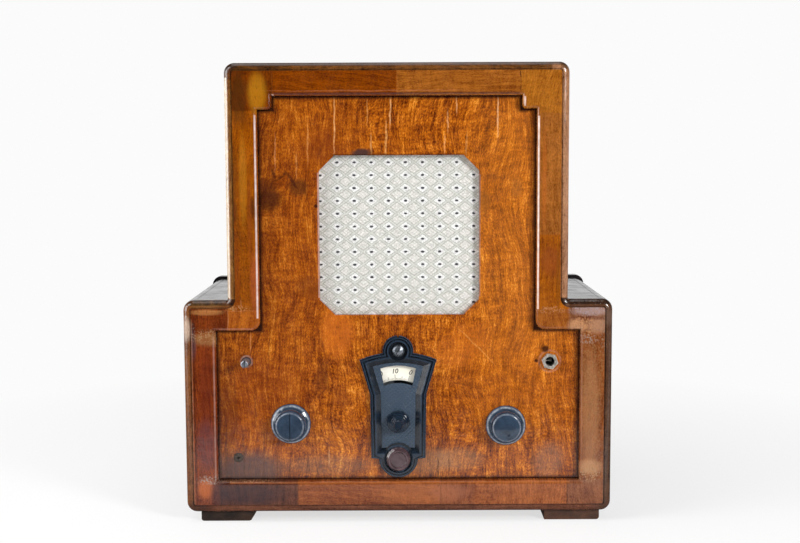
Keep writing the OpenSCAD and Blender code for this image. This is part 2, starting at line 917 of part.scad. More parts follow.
// The dial plate and its screw
plate_shank_r = 2.2;
drive_bush_r = 5;
drive_recess_r = 14.2;
screw_seat_r = 9.4;

field_drop = plate_t - field_t;
field_reach = 130;

// What lies before a slope whose upper edge runs through p and q, with the rim on the right of it
module before_slope(p, q) {
    translate([p[0], front_y, p[1]])
        rotate([0, atan2(q[0] - p[0], q[1] - p[1]), 0])
            translate([0, 0, -field_reach])
                linear_extrude(2 * field_reach)
                    polygon([[-field_reach, plate_front - 1], [slope_w / field_drop, plate_front - 1],
                        [-slope_w, field_front], [-field_reach, field_front]]);
}

module before_side() {
    union() {
        before_slope(field_foot, field_waist);
        before_slope(field_waist, field_corner);
    }
}

// The sunk field of the dial plate with the slopes round it, and a bead round the drive knob
module plate_field() {
    difference() {
        intersection() {
            before_side();
            mirror([1, 0, 0])
                before_side();
            before_slope([0, field_foot[1]], [1, field_foot[1]]);
            turned(0, crown_z, field_front)
                polygon([[0, 0], [field_crown_r - slope_w, 0],
                    [field_crown_r + slope_w / field_drop, field_drop + 1], [0, field_drop + 1]]);
        }
        rod(0, drive_z, drive_recess_r + 1.6, field_front - 1.4, field_front + 1);
    }
}

module escutcheon() {
    color(bakelite)
        difference() {
            union() {
                slab(field_front, panel_front)
                    polygon(plate_outline(0));
                slab(plate_front, field_front + eps)
                    polygon(plate_outline(1.4));
                slab(plate_front + 1.3, field_front + eps)
                    polygon(plate_outline(0.5));
            }
            plate_field();
            slab(plate_front - 1, plate_front + channel_d)
                difference() {
                    polygon(plate_outline(2.6));
                    polygon(plate_outline(4.2));
                }
            for (s = [-1, 1])
                slab(plate_front - 1, panel_front + 1)
                    translate([0, s > 0 ? plate_screw_z + upper_lobe_r : drive_z - lower_lobe_r])
                        scale([1, s])
                            polygon([[0, -plate_notch], [plate_notch, 1], [-plate_notch, 1]]);
            slab(plate_front - 1, panel_front + 1)
                translate([0, dial_z])
                    polygon(concat(
                        arc(0, 0, window_r_out, 90 - window_half, 90 + window_half, 12),
                        arc(0, 0, window_r_in, 90 + window_half_foot, 90 - window_half_foot, 12)));
            rod(0, drive_z, drive_recess_r, plate_front - 1, field_front);
            rod(0, plate_screw_z, screw_seat_r, plate_front - 1, field_front - 0.8);
            rod(0, drive_z, drive_bush_r + hand_fit / 2, plate_front - 1, panel_front + 1);
            rod(0, dial_z, spindle_d / 2 + 1, plate_front - 1, panel_front + 1);
            rod(0, plate_screw_z, plate_shank_r + hand_fit / 2, plate_front - 1, panel_front + 1);
        }
}

module escutcheon_screw() {
    seat = field_front - 0.8;
    head = 3.2;
    color(bakelite)
        difference() {
            union() {
                turned(0, plate_screw_z, seat)
                    intersection() {
                        translate([0, head - plate_screw_r * 1.2])
                            circle(r = plate_screw_r * 1.2);
                        square([plate_screw_r, head]);
                    }
                rod(0, plate_screw_z, plate_shank_r, seat - eps, panel_back + 4);
            }
            translate([0, front_y + seat - head, plate_screw_z])
                rotate([0, -55, 0])
                    cube([20, 2.6, 1.2], center = true);
        }
}

// The scale and the wheel that carries it
module dial_scale() {
    color("#ece6d2")
        difference() {
            rod(0, dial_z, scale_r_out, scale_front, wheel_front);
            rod(0, dial_z, scale_r_in, scale_front - 1, wheel_front + 1);
        }
}

module dial_wheel() {
    color(steel)
        difference() {
            union() {
                difference() {
                    rod(0, dial_z, carrier_r_out, wheel_front, wheel_front + wheel_t);
                    rod(0, dial_z, scale_r_in, wheel_front - 1, wheel_front + wheel_t + 1);
                }
                slab(wheel_front, wheel_front + wheel_t)
                    translate([0, dial_z])
                        polygon(ring_sector(hub_r - 1, scale_r_in + 1, -90 - web_half + rest_turn,
                            -90 + web_half + rest_turn, 16));
                rod(0, dial_z, hub_r, wheel_front, friction_front + wheel_t + 3);
                rod(0, dial_z, friction_r, friction_front, friction_front + wheel_t);
            }
            rod(0, dial_z, spindle_d / 2, wheel_front - 1, friction_front + wheel_t + 4);
        }
}

module main_spindle() {
    color(nickel)
        rod(0, dial_z, spindle_d / 2, field_front - knob_gap - stepped_h + 4, gang_front + gang_l + 3);
}

// Foot of the stepped knob is at its rear; each step is smaller than the one behind it
module stepped_knob() {
    s = stepped_h / 6;
    r = stepped_r;
    color(bakelite)
        difference() {
            turned(0, dial_z, field_front - knob_gap)
                polygon([[0, 0], [r, 0], [r, s * 0.7], [r * 0.95, s], [r * 0.86, s * 1.1],
                    [r * 0.84, s * 2], [r * 0.79, s * 2.3], [r * 0.71, s * 2.4], [r * 0.69, s * 3.2],
                    [r * 0.64, s * 3.5], [r * 0.57, s * 3.6], [r * 0.55, s * 4.4], [r * 0.5, s * 4.7],
                    [r * 0.44, s * 4.8], [r * 0.42, s * 5.6], [r * 0.34, s * 6], [0, s * 6]]);
            rod(0, dial_z, spindle_d / 2, field_front - knob_gap - stepped_h + 4,
                field_front - knob_gap + 1);
        }
}

module drive_knob() {
    h = drive_knob_h;
    r = drive_knob_r;
    color(brown_bakelite)
        difference() {
            turned(0, drive_z, field_front - knob_gap)
                polygon([[0, 0], [r, 0], [r, h * 0.45], [r * 0.92, h * 0.55], [r * 0.92, h * 0.72],
                    [r * 0.84, h * 0.8], [r * 0.82, h], [r * 0.72, h], [r * 0.62, h * 0.84],
                    [0, h * 0.84]]);
            rod(0, drive_z, drive_spindle_d / 2, field_front - knob_gap - h + 4,
                field_front - knob_gap + 1);
            rod(0, drive_z, drive_bush_r + 1, field_front - knob_gap - 1.2, field_front - knob_gap + 1);
        }
}

module drive_spindle() {
    color(steel)
        union() {
            rod(0, drive_z, drive_spindle_d / 2, field_front - knob_gap - drive_knob_h + 4,
                bracket_front + bracket_t + 2);
            rod(0, drive_z, pinch_r, friction_front - pinch_gap - 0.9, friction_front - pinch_gap);
            rod(0, drive_z, pinch_r, friction_front + wheel_t + pinch_gap,
                friction_front + wheel_t + pinch_gap + 0.9);
        }
}

module drive_bush() {
    color("#a8843c")
        difference() {
            rod(0, drive_z, drive_bush_r, field_front - 1, recess_front + 0.2);
            rod(0, drive_z, drive_spindle_d / 2 + running_fit, field_front - 2, recess_front + 1);
        }
}

module drive_bracket() {
    foot_top = dial_z - scale_r_out - 3;
    color(steel)
        difference() {
            union() {
                block(0, 20, bracket_front, bracket_front + bracket_t, foot_top - 14, drive_z + 8);
                block(0, 20, panel_back, bracket_front + eps, foot_top - 14, foot_top);
            }
            rod(0, drive_z, drive_spindle_d / 2 + running_fit, bracket_front - 1,
                bracket_front + bracket_t + 1);
        }
}

// Controls behind the two large knobs
control_bush_r = 5;
control_nut_af = 14;
control_nut_t = 2.6;
knob_edge_r = 2.4;
knob_slope_w = 3.8;
knob_groove_w = 0.9;

knob_dome = 2;
knob_dome_r = (knob_face_r * knob_face_r + knob_dome * knob_dome) / (2 * knob_dome);

module large_knob(x, z, marked_by_groove) {
    h = marked_by_groove ? knob_h : knob_h - knob_dome * 0.8;
    r = knob_r;
    f = knob_face_r;
    color(bakelite)
        difference() {
            turned(x, z, panel_front - knob_gap)
                union() {
                    polygon([[0, 0], [r - 0.4, 0], [r, 0.5], [r, 1.6], [r - 0.5, 2.6],
                        [r - knob_slope_w * 0.45, 2.6 + knob_slope_w * 0.45],
                        [r - knob_slope_w, 2.6 + knob_slope_w * 0.8], [f + knob_edge_r * 0.5, h * 0.6],
                        [f + knob_edge_r * 0.3, h - knob_edge_r], [0, h - knob_edge_r]]);
                    area(0, f - knob_edge_r, 0, h);
                    translate([f - knob_edge_r, h - knob_edge_r])
                        circle(r = knob_edge_r);
                    if (!marked_by_groove)
                        intersection() {
                            translate([0, knob_h - knob_dome_r])
                                circle(r = knob_dome_r);
                            area(0, f - knob_edge_r, 0, knob_h);
                        }
                }
            rod(x, z, control_spindle_d / 2, panel_front - knob_gap - knob_h + 4, panel_front);
            rod(x, z, control_nut_af / 2 / cos(30) + 1, panel_front - knob_gap - 4, panel_front + 1);
            if (marked_by_groove)
                block(x, knob_groove_w, panel_front - knob_gap - h - 1,
                    panel_front - knob_gap - h + knob_groove_w, z - f - 1, z + f + 1);
            else
                rod(x + 2, z - 7, 1.1, panel_front - knob_gap - knob_h - 1,
                    panel_front - knob_gap - knob_h + 1);
        }
}

module control_body(x, z) {
    color("#3b2a20")
        union() {
            difference() {
                union() {
                    rod(x, z, control_r, panel_back, panel_back + control_l);
                    rod(x, z, control_bush_r, panel_front - control_nut_t - 0.5, panel_back + eps);
                }
                rod(x, z, control_spindle_d / 2 + running_fit, panel_front - control_nut_t - 1,
                    panel_back + control_l - 2);
            }
            difference() {
                translate([x, front_y + panel_front, z])
                    rotate([90, 0, 0])
                        cylinder(d = control_nut_af / cos(30), h = control_nut_t, $fn = 6);
                rod(x, z, control_bush_r - eps, panel_front - control_nut_t - 1, panel_front + 1);
            }
        }
}

module control_spindle(x, z) {
    color(nickel)
        rod(x, z, control_spindle_d / 2, panel_front - knob_gap - knob_h + 4,
            panel_back + control_l - 2.3);
}

module volume_knob() {
    large_knob(-volume_x, volume_z, true);
}

module volume_control() {
    control_body(-volume_x, volume_z);
}

module volume_spindle() {
    control_spindle(-volume_x, volume_z);
}

module reaction_knob() {
    large_knob(reaction_x, reaction_z, false);
}

module reaction_control() {
    control_body(reaction_x, reaction_z);
}

module reaction_spindle() {
    control_spindle(reaction_x, reaction_z);
}

// The mains switch and its bare spindle
module switch_body() {
    color("#3b2a20")
        difference() {
            union() {
                block(-switch_x, 26, panel_back, panel_back + 22, switch_z - 15, switch_z + 15);
                rod(-switch_x, switch_z, switch_bush_r, panel_front - 0.6, panel_back + eps);
            }
            rod(-switch_x, switch_z, switch_d / 2 + running_fit, panel_front - 1, panel_back + 18);
        }
}

module switch_spindle() {
    front = panel_front - switch_out;
    color(steel)
        difference() {
            turned(-switch_x, switch_z, panel_back + 17.7)
                polygon([[0, 0], [switch_d / 2, 0], [switch_d / 2, panel_back + 17.7 - front - 0.6],
                    [switch_d / 2 - 0.6, panel_back + 17.7 - front], [0, panel_back + 17.7 - front]]);
            block(-switch_x, 1.2, front - 1, front + 6, switch_z - switch_d, switch_z + switch_d);
        }
}

// The pick-up jack
jack_bush_r = jack_bore_d / 2 + 1.3;
jack_nut_turn = 11;
jack_flange_r = 9.5;
jack_yoke_l = 26;

module jack_nut() {
    color(nickel)
        difference() {
            translate([jack_x, front_y + panel_front, jack_z])
                rotate([90, jack_nut_turn, 0])
                    cylinder(d = jack_nut_af / cos(30), h = jack_nut_t, $fn = 6);
            rod(jack_x, jack_z, jack_bush_r + running_fit, panel_front - jack_nut_t - 1, panel_front + 1);
        }
}

module jack_body() {
    color(nickel)
        difference() {
            union() {
                rod(jack_x, jack_z, jack_bush_r, panel_front - jack_nut_t + 0.5, panel_back + eps);
                rod(jack_x, jack_z, jack_flange_r, panel_back, panel_back + 2);
                block(jack_x, 12, panel_back + 2 - eps, panel_back + 2 + jack_yoke_l,
                    jack_z - jack_flange_r + 1, jack_z - jack_flange_r + 3.5);
                block(jack_x, 12, panel_back + jack_yoke_l, panel_back + 2 + jack_yoke_l,
                    jack_z - jack_flange_r + 1, jack_z - 0.7);
            }
            rod(jack_x, jack_z, jack_bore_d / 2, panel_front - jack_nut_t, panel_back + 3);
        }
}

module jack_spring() {
    color("#c9c6bc")
        block(jack_x - 1, 6.6, panel_back - 2, panel_back + 2 + jack_yoke_l, jack_z - 0.7,
            jack_z + 0.5);
}

// Screw that fills an unused hole
plug_shank_r = 2.4;

module panel_plug() {
    color("#40403c")
        difference() {
            union() {
                turned(-plug_x, plug_z, panel_front)
                    polygon([[0, 0], [plug_r, 0], [plug_r * 0.9, 0.7], [plug_r * 0.5, 1.1], [0, 1.2]]);
                rod(-plug_x, plug_z, plug_shank_r, panel_front - eps, panel_back + 2);
            }
            rod(-plug_x, plug_z, 1.3, panel_front - 2, panel_front + 0.4);
        }
}

module chassis() {
    color(steel)
        difference() {
            union() {
                block(0, chassis_w, chassis_front, chassis_back, inside_floor, deck_z);
                block(0, chassis_w + 2 * flange_w, chassis_front, chassis_back, inside_floor,
                    inside_floor + sheet_t);
            }
            block(0, chassis_w - 2 * sheet_t, chassis_front + sheet_t, chassis_back - sheet_t,
                inside_floor - 1, deck_z - sheet_t);
            for (p = chassis_screw_at)
                pin(p[0], p[1], chassis_screw_d / 2 + hand_fit / 2, inside_floor - 1,
                    inside_floor + sheet_t + 1);
        }
}

module chassis_screws() {
    top = inside_floor + sheet_t;
    color(steel)
        for (p = chassis_screw_at) {
            pin(p[0], p[1], chassis_screw_d / 2, inside_floor - board_t * 0.7, top + eps);
            translate([p[0], front_y + p[1], top])
                rotate_extrude()
                    scale(chassis_screw_d)
                    polygon([[0, 0], [0.97, 0], [0.87, 0.35], [0.5, 0.55], [0, 0.55]]);
        }
}

// The two-gang tuning capacitor
gang_wall = 1.5;
section_plates = 7;
section_start = [8, 39];
stator_rod_x = 25;

module capacitor_frame() {
    color(nickel)
        difference() {
            block(0, gang_w, gang_front, gang_front + gang_l, deck_z, deck_z + gang_h);
            block(0, gang_w + 2, gang_front + gang_wall, gang_front + gang_l - gang_wall,
                deck_z + gang_wall, deck_z + gang_h + 1);
            rod(0, dial_z, spindle_d / 2 + running_fit, gang_front - 1, gang_front + gang_l + 1);
        }
}

function rotor_depth(k, i) = gang_front + section_start[k] + i * plate_pitch;

module rotor_plates() {
    last = rotor_depth(1, section_plates - 1);
    color("#c3c6c8")
        difference() {
            union() {
                rod(0, dial_z, spindle_d / 2 + 1.5, rotor_depth(0, 0) - 3, last + 3);
                for (k = [0, 1])
                    for (i = [0:section_plates - 1])
                        slab(rotor_depth(k, i), rotor_depth(k, i) + plate_sheet)
                            translate([0, dial_z])
                                polygon(concat([[0, 0]], arc(0, 0, rotor_r, 180 - rest_turn,
                                    360 - rest_turn, 20)));
            }
            rod(0, dial_z, spindle_d / 2, gang_front, gang_front + gang_l);
        }
}

module stator_plates() {
    r = rotor_r + 3;
    half = plate_pitch / 2;
    color("#c3c6c8")
        difference() {
            union() {
                for (k = [0, 1])
                    for (i = [0:section_plates])
                        slab(rotor_depth(k, i) - half, rotor_depth(k, i) - half + plate_sheet)
                            translate([0, dial_z])
                                polygon(arc(0, 0, r, 8, 172, 20));
                for (s = [-1, 1])
                    rod(s * (r * cos(20) - 0.6), dial_z + r * sin(20) - 0.6, 1.6,
                        gang_front + gang_wall, gang_front + gang_l - gang_wall);
            }
            rod(0, dial_z, spindle_d / 2 + 3, gang_front, gang_front + gang_l);
        }
}

// Mains transformer: a laminated core with its winding round the middle limb
core_depth = chassis_front + 48;
limb_w = core_w / 3;

module transformer_core() {
    front = core_depth - core_d / 2;
    back = core_depth + core_d / 2;
    color("#4a4d50")
        difference() {
            block(core_x, core_w, front, back, deck_z, deck_z + core_h);
            for (s = [-1, 1])
                block(core_x + s * limb_w * 0.75, limb_w / 2, front - 1, back + 1, deck_z + limb_w / 2,
                    deck_z + core_h - limb_w / 2);
        }
}

module transformer_coil() {
    reach = limb_w / 2 - 0.6;
    color("#6b4a24")
        difference() {
            block(core_x, limb_w + 2 * reach, core_depth - core_d / 2 - reach,
                core_depth + core_d / 2 + reach, deck_z + limb_w / 2 + 0.3,
                deck_z + core_h - limb_w / 2 - 0.3);
            block(core_x, limb_w + 0.4, core_depth - core_d / 2 - 0.2, core_depth + core_d / 2 + 0.2,
                deck_z, deck_z + core_h);
        }
}

// Capacitor block between the transformer's winding and the back of the chassis
block_front = core_depth + (core_d + limb_w) / 2 + block_w * 0.37;
block_back = chassis_back - valve_setback * 0.315;

module smoothing_block() {
    top = deck_z + block_h;
    tag = block_w / 23;
    color("#55584f")
        union() {
            block(core_x, block_w, block_front, block_back, deck_z, top);
            for (s = [-1, 1])
                pin(core_x + s * block_w / 4, (block_front + block_back) / 2, tag, top - eps,
                    top + 3 * tag);
        }
}

module coil_cans() {
    wall = 0.8;
    color("#a9adb0")
        for (x = can_xs)
            translate([x, front_y + can_depth, deck_z])
                rotate_extrude()
                    polygon([[can_r - wall, 0], [can_r, 0], [can_r, can_h - 3], [can_r - 3, can_h],
                        [0, can_h], [0, can_h - wall], [can_r - 3 - wall, can_h - wall],
                        [can_r - wall, can_h - 3 - wall]]);
}

// Valves stand in a row at the back of the chassis
module valve_holders() {
    color(bakelite)
        for (x = valve_xs)
            difference() {
                pin(x, valve_row, base_r + 2.5, deck_z, deck_z + holder_h);
                pin(x, valve_row, base_r + hand_fit, deck_z + 3, deck_z + holder_h + 1);
            }
}

module valve_bases() {
    color("#2a1d18")
        for (x = valve_xs)
            pin(x, valve_row, base_r, deck_z + 3, deck_z + 3 + base_h);
}

// Half section of a bulb: a neck, a straight wall and a round crown with a flat middle
module bulb_profile(r, neck, top) {
    crown = top - r;
    intersection() {
        translate([0, crown])
            circle(r = r);
        translate([0, crown])
            square([r, r - 0.6]);
    }
    polygon([[0, 0], [neck, 0], [neck, 6], [r, 22], [r, crown], [0, crown]]);
}

module valve_bulbs() {
    neck = base_r - 0.8;
    glass = 1.2;
    tip_r = 2.6;
    color("#9fa7a6")
        for (x = valve_xs)
            translate([x, front_y + valve_row, deck_z + 3 + base_h])
                rotate_extrude() {
                    difference() {
                        bulb_profile(bulb_r, neck, bulb_h);
                        translate([0, -eps])
                            bulb_profile(bulb_r - glass, neck - glass, bulb_h - glass);
                    }
                    translate([0, bulb_h - 1])
                        square([tip_r, 3]);
                }
}

module terminal_strip() {
    back = chassis_back + terminal_h * 0.3;
    color(brown_bakelite)
        difference() {
            block(terminal_x, terminal_w, chassis_back, back, terminal_z, terminal_z + terminal_h);
            for (i = [-2:2])
                rod(terminal_x + i * terminal_pitch, terminal_z + terminal_h / 2, terminal_h / 10,
                    chassis_back + 1, back + 1);
        }
}

module mains_bush() {
    color(bakelite)
        difference() {
            union() {
                rod(mains_x, mains_z, mains_r, cover_front - 3, cabinet_d);
                rod(mains_x, mains_z, mains_r + 2, cabinet_d - eps, cabinet_d + cover_screw_h);
                rod(mains_x, mains_z, mains_r + 2, cover_front - 4, cover_front - hand_fit / 2);
            }
            rod(mains_x, mains_z, mains_r - 2.2, cover_front - 5, cabinet_d + cover_screw_h + 1);
        }
}

// Loudspeaker behind the baffle
magnet_front = baffle_back + basket_d;
basket_ring = 3;
cone_rim_r = basket_r - 7;
arm_half = 14;

module speaker_basket() {
    ring_back = baffle_back + basket_ring;
    color("#33363a")
        union() {
            difference() {
                rod(grille_x, grille_z, basket_r, baffle_back, ring_back);
                rod(grille_x, grille_z, cone_rim_r + 0.3, baffle_back - 1, ring_back + 1);
            }
            for (a = [45:90:315])
                translate([grille_x, front_y + magnet_front, grille_z])
                    rotate([90, 0, 0])
                        rotate([0, 0, a - arm_half])
                            rotate_extrude(angle = 2 * arm_half)
                                polygon([[magnet_r - 6, 0], [magnet_r - 1, 0],
                                    [basket_r, basket_d - basket_ring + eps],
                                    [cone_rim_r + 1.5, basket_d - basket_ring + eps],
                                    [magnet_r - 6, 4]]);
            difference() {
                rod(grille_x, grille_z, magnet_r - 1, magnet_front - 4, magnet_front);
                rod(grille_x, grille_z, magnet_r - 8, magnet_front - 5, magnet_front + 1);
            }
        }
}

module speaker_magnet() {
    gap_out = voice_coil_r + 0.9;
    color("#26282b")
        difference() {
            rod(grille_x, grille_z, magnet_r, magnet_front, magnet_front + magnet_l);
            difference() {
                rod(grille_x, grille_z, gap_out, magnet_front - 1, magnet_front + 14);
                rod(grille_x, grille_z, voice_coil_r - 0.9, magnet_front - 2, magnet_front + 15);
            }
        }
}

module speaker_cone() {
    rim = baffle_back + cone_travel + 1;
    foot = magnet_front - 8;
    color("#2b2723")
        union() {
            translate([grille_x, front_y, grille_z])
                rotate([-90, 0, 0])
                    rotate_extrude()
                        polygon([[voice_coil_r - 0.3, foot], [cone_rim_r - 4, rim + 1],
                            [cone_rim_r, rim], [cone_rim_r, rim + 1.2], [cone_rim_r - 3.4, rim + 2.2],
                            [voice_coil_r + 0.5, foot + 1.6]]);
            difference() {
                rod(grille_x, grille_z, voice_coil_r + 0.4, foot, magnet_front + 8);
                rod(grille_x, grille_z, voice_coil_r - 0.4, foot - 1, magnet_front + 9);
            }
        }
}

// Small lamp beside the dial wheel
lamp_x = 48;
lamp_z = dial_z + 44;

module dial_lamp() {
    color("#c8b98a")
        union() {
            rod(lamp_x, lamp_z, 5, panel_back, panel_back + 14);
            block(lamp_x + 8, 16, panel_back, panel_back + 1.5, lamp_z - 6, lamp_z + 6);
            turned(lamp_x, lamp_z, panel_back + 26)
                polygon([[0, 0], [2, 0], [5, 4], [4.5, 9], [3.5, 12 + eps], [0, 12 + eps]]);
        }
}

front_panel();
front_frame();
edge_moulding();
bottom_board();
side_board_left();
side_board_right();
shoulder_board_left();
shoulder_board_right();
tower_side_left();
tower_side_right();
top_board();
rear_frame();
glue_blocks();
back_cover();
back_cover_screws();
foot_left();
foot_right();
speaker_cloth();
baffle_board();
baffle_screws();
escutcheon();
escutcheon_screw();
dial_scale();
dial_wheel();
main_spindle();
stepped_knob();
drive_knob();
drive_spindle();
drive_bush();
drive_bracket();
volume_knob();
volume_control();
volume_spindle();
reaction_knob();
reaction_control();
reaction_spindle();
switch_body();
switch_spindle();
jack_nut();
jack_body();
jack_spring();
panel_plug();
chassis();
chassis_screws();
capacitor_frame();
stator_plates();
rotor_plates();
transformer_core();
transformer_coil();
smoothing_block();
coil_cans();
valve_holders();
valve_bases();
valve_bulbs();
terminal_strip();
mains_bush();
speaker_basket();
speaker_magnet();
speaker_cone();
dial_lamp();
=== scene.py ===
"""Looks of a table radio receiver in a stepped walnut cabinet: finishes, cloth, dial and stage."""

import json
import math

import bmesh
import bpy
from bpy.props import FloatProperty, FloatVectorProperty, IntProperty, PointerProperty
from mathutils import Matrix, Vector


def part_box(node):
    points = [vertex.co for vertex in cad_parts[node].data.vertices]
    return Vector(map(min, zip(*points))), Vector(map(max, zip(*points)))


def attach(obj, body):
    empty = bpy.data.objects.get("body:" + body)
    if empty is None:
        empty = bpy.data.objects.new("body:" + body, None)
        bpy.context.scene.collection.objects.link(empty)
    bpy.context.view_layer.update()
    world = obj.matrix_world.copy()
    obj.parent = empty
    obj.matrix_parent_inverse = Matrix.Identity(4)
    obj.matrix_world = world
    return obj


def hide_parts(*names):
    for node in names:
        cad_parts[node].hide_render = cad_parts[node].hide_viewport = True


bl_info = {
    "name": "Table radio receiver",
    "version": (1, 0, 0),
    "blender": (4, 5, 0),
    "location": "View3D > Sidebar > Radio",
    "description": "Finishes, cloth, dial and stage of a table radio in a stepped walnut cabinet",
    "category": "Object",
}

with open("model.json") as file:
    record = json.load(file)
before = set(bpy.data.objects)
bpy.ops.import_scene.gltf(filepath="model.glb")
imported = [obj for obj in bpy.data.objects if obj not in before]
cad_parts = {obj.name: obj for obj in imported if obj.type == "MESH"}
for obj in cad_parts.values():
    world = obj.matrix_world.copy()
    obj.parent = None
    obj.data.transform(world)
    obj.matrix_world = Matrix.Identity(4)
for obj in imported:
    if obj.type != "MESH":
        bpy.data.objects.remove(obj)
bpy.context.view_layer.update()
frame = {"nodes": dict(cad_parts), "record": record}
NODES = frame["nodes"]
MM = 0.001
# Near white of the backdrop, and of the paper as the camera sees it
BACKDROP = "#fbfbfb"
# Depth of a mask that goes through the whole set, in millimetres
THROUGH = 1e5
# Front of the dial plate, its thickness and the thickness of its sunk field, in millimetres
PLATE_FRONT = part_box("escutcheon")[0].y / MM
PLATE_T = 5
FIELD_T = 1.2


def hex_colour(code):
    """Turns an sRGB hex value to the linear colour that a shader takes."""
    parts = [int(code[i : i + 2], 16) / 255 for i in (1, 3, 5)]
    return [p / 12.92 if p <= 0.04045 else ((p + 0.055) / 1.055) ** 2.4 for p in parts] + [1]


def feed(node, inputs):
    """Gives a node's inputs values or links. A node among them stands for its first output."""
    pairs = inputs.items() if isinstance(inputs, dict) else enumerate(inputs)
    for key, value in pairs:
        if isinstance(value, bpy.types.Node):
            value = value.outputs[0]
        if isinstance(value, bpy.types.NodeSocket):
            node.id_data.links.new(value, node.inputs[key])
        else:
            node.inputs[key].default_value = value
    return node


def add(tree, kind, inputs=(), **settings):
    """Adds a node with its settings and feeds it."""
    node = tree.nodes.new(kind)
    for name, value in settings.items():
        setattr(node, name, value)
    return feed(node, inputs)


def ramp_stops(node, stops):
    """Gives a colour ramp its stops, each a position and a colour."""
    elements = node.color_ramp.elements
    while len(elements) < len(stops):
        elements.new(0.5)
    for element, (position, code) in zip(elements, stops):
        element.position = position
        element.color = hex_colour(code)
    return node


def new_material(name):
    """An empty material, its tree and its shader."""
    material = bpy.data.materials.new(name)
    material.use_nodes = True
    tree = material.node_tree
    tree.nodes.clear()
    shader = add(tree, "ShaderNodeBsdfPrincipled")
    add(tree, "ShaderNodeOutputMaterial", [shader])
    return material, tree, shader


def fed(shader, name):
    """What feeds an input of a shader already."""
    return shader.inputs[name].links[0].from_socket


def millimetres(tree):
    """Object coordinates in millimetres."""
    place = add(tree, "ShaderNodeTexCoord").outputs["Object"]
    return add(tree, "ShaderNodeVectorMath", [place, (1 / MM, 1 / MM, 1 / MM)], operation="MULTIPLY")


def front_middle(name):
    """X and Z of a CAD node's middle, in millimetres."""
    low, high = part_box(name)
    return (low.x + high.x) / 2 / MM, (low.z + high.z) / 2 / MM


def dress(material, *names):
    """Gives CAD nodes a material."""
    for name in names:
        node = NODES[name]
        node.data.materials.clear()
        node.data.materials.append(material)


def new_piece(name, mesh, material):
    """Makes an object of a bmesh, its place in its mesh."""
    data = bpy.data.meshes.new(name)
    mesh.normal_update()
    mesh.to_mesh(data)
    mesh.free()
    data.materials.append(material)
    piece = bpy.data.objects.new(name, data)
    bpy.context.scene.collection.objects.link(piece)
    return piece


class RadioStageSettings(bpy.types.PropertyGroup):
    """Camera and light."""

    lens: FloatProperty(name="Lens", description="Focal length on a 36 mm wide sensor",
                        default=55.53, unit="CAMERA")
    camera_tilt: FloatProperty(name="Tilt", description="Camera's tilt from straight down",
                               default=math.radians(84.42), subtype="ANGLE")
    camera_roll: FloatProperty(name="Roll", description="Camera's roll",
                               default=math.radians(-0.25), subtype="ANGLE")
    camera_place: FloatVectorProperty(name="Camera place", description="Where the camera stands",
                                      default=(0.0023, -1.3118, 0.3690), subtype="TRANSLATION")
    room_light: FloatProperty(name="Room light", description="Strength of the world on matt surfaces",
                              default=0.15)
    key_power: FloatProperty(name="Key light", description="Power of the right softbox", default=46,
                             unit="POWER")
    strip_power: FloatProperty(name="Strip light", description="Power of the left softbox", default=36,
                               unit="POWER")
    top_power: FloatProperty(name="Top light", description="Power of the softbox overhead", default=11,
                             unit="POWER")
    fill_power: FloatProperty(name="Fill light", description="Power of the upper left softbox",
                              default=13, unit="POWER")
    floor_front: FloatProperty(name="Paper's front edge", description="Where the pale paper ends",
                               default=-0.38, unit="LENGTH")


# Softboxes: place, width and height, and the point each looks at, in metres
SOFTBOXES = {
    "key": ((1.5, -1.55, 0.95), (0.5, 0.6), (0, 0, 0.25)),
    "strip": ((-1.8, -0.45, 0.55), (1.1, 1.4), (0, 0, 0.25)),
    "fill": ((-1.3, -0.75, 1.5), (0.8, 0.6), (0, 0, 0.25)),
    "top": ((-0.1, 0.05, 2.0), (1.5, 1.2), (0, 0.05, 0)),
}


def softbox(context, name, power, place, size, look):
    """A rectangular softbox that looks at a point."""
    light = bpy.data.lights.new(name, "AREA")
    light.shape = "RECTANGLE"
    light.size, light.size_y = size
    light.energy = power
    box = bpy.data.objects.new(name, light)
    aim = (Vector(look) - Vector(place)).to_track_quat("-Z", "Y").to_matrix().to_4x4()
    box.matrix_world = Matrix.Translation(place) @ aim
    context.scene.collection.objects.link(box)


def studio_world(context, settings):
    """White backdrop for the camera and in reflections, and a dark studio in front of the set."""
    world = bpy.data.worlds.new("studio")
    world.use_nodes = True
    context.scene.world = world
    tree = world.node_tree
    tree.nodes.clear()
    path = add(tree, "ShaderNodeLightPath").outputs
    seen = add(tree, "ShaderNodeMath", [path["Is Camera Ray"], path["Is Glossy Ray"]], operation="MAXIMUM")
    seen = add(tree, "ShaderNodeMath", [seen, path["Is Transmission Ray"]], operation="MAXIMUM")
    way = add(tree, "ShaderNodeTexCoord").outputs["Generated"]
    x, y, z = add(tree, "ShaderNodeSeparateXYZ", [way]).outputs
    # Reflections see the backdrop behind the set and on its left, and it fades out overhead
    turned = add(tree, "ShaderNodeMath", [x, -0.45, y], operation="MULTIPLY_ADD")
    back = add(tree, "ShaderNodeMapRange", [turned, -0.15, 0.35, 0.025, 0.97],
               interpolation_type="SMOOTHSTEP")
    overhead = add(tree, "ShaderNodeMapRange", [z, 0.25, 0.6, 1, 0.06])
    back = add(tree, "ShaderNodeMath", [back, overhead], operation="MULTIPLY")
    back = add(tree, "ShaderNodeMath", [back, path["Is Camera Ray"]], operation="MAXIMUM")
    level = add(tree, "ShaderNodeMix", {0: seen, 2: settings.room_light, 3: back}, data_type="FLOAT")
    background = add(tree, "ShaderNodeBackground", {"Color": hex_colour(BACKDROP), "Strength": level})
    add(tree, "ShaderNodeOutputWorld", [background])


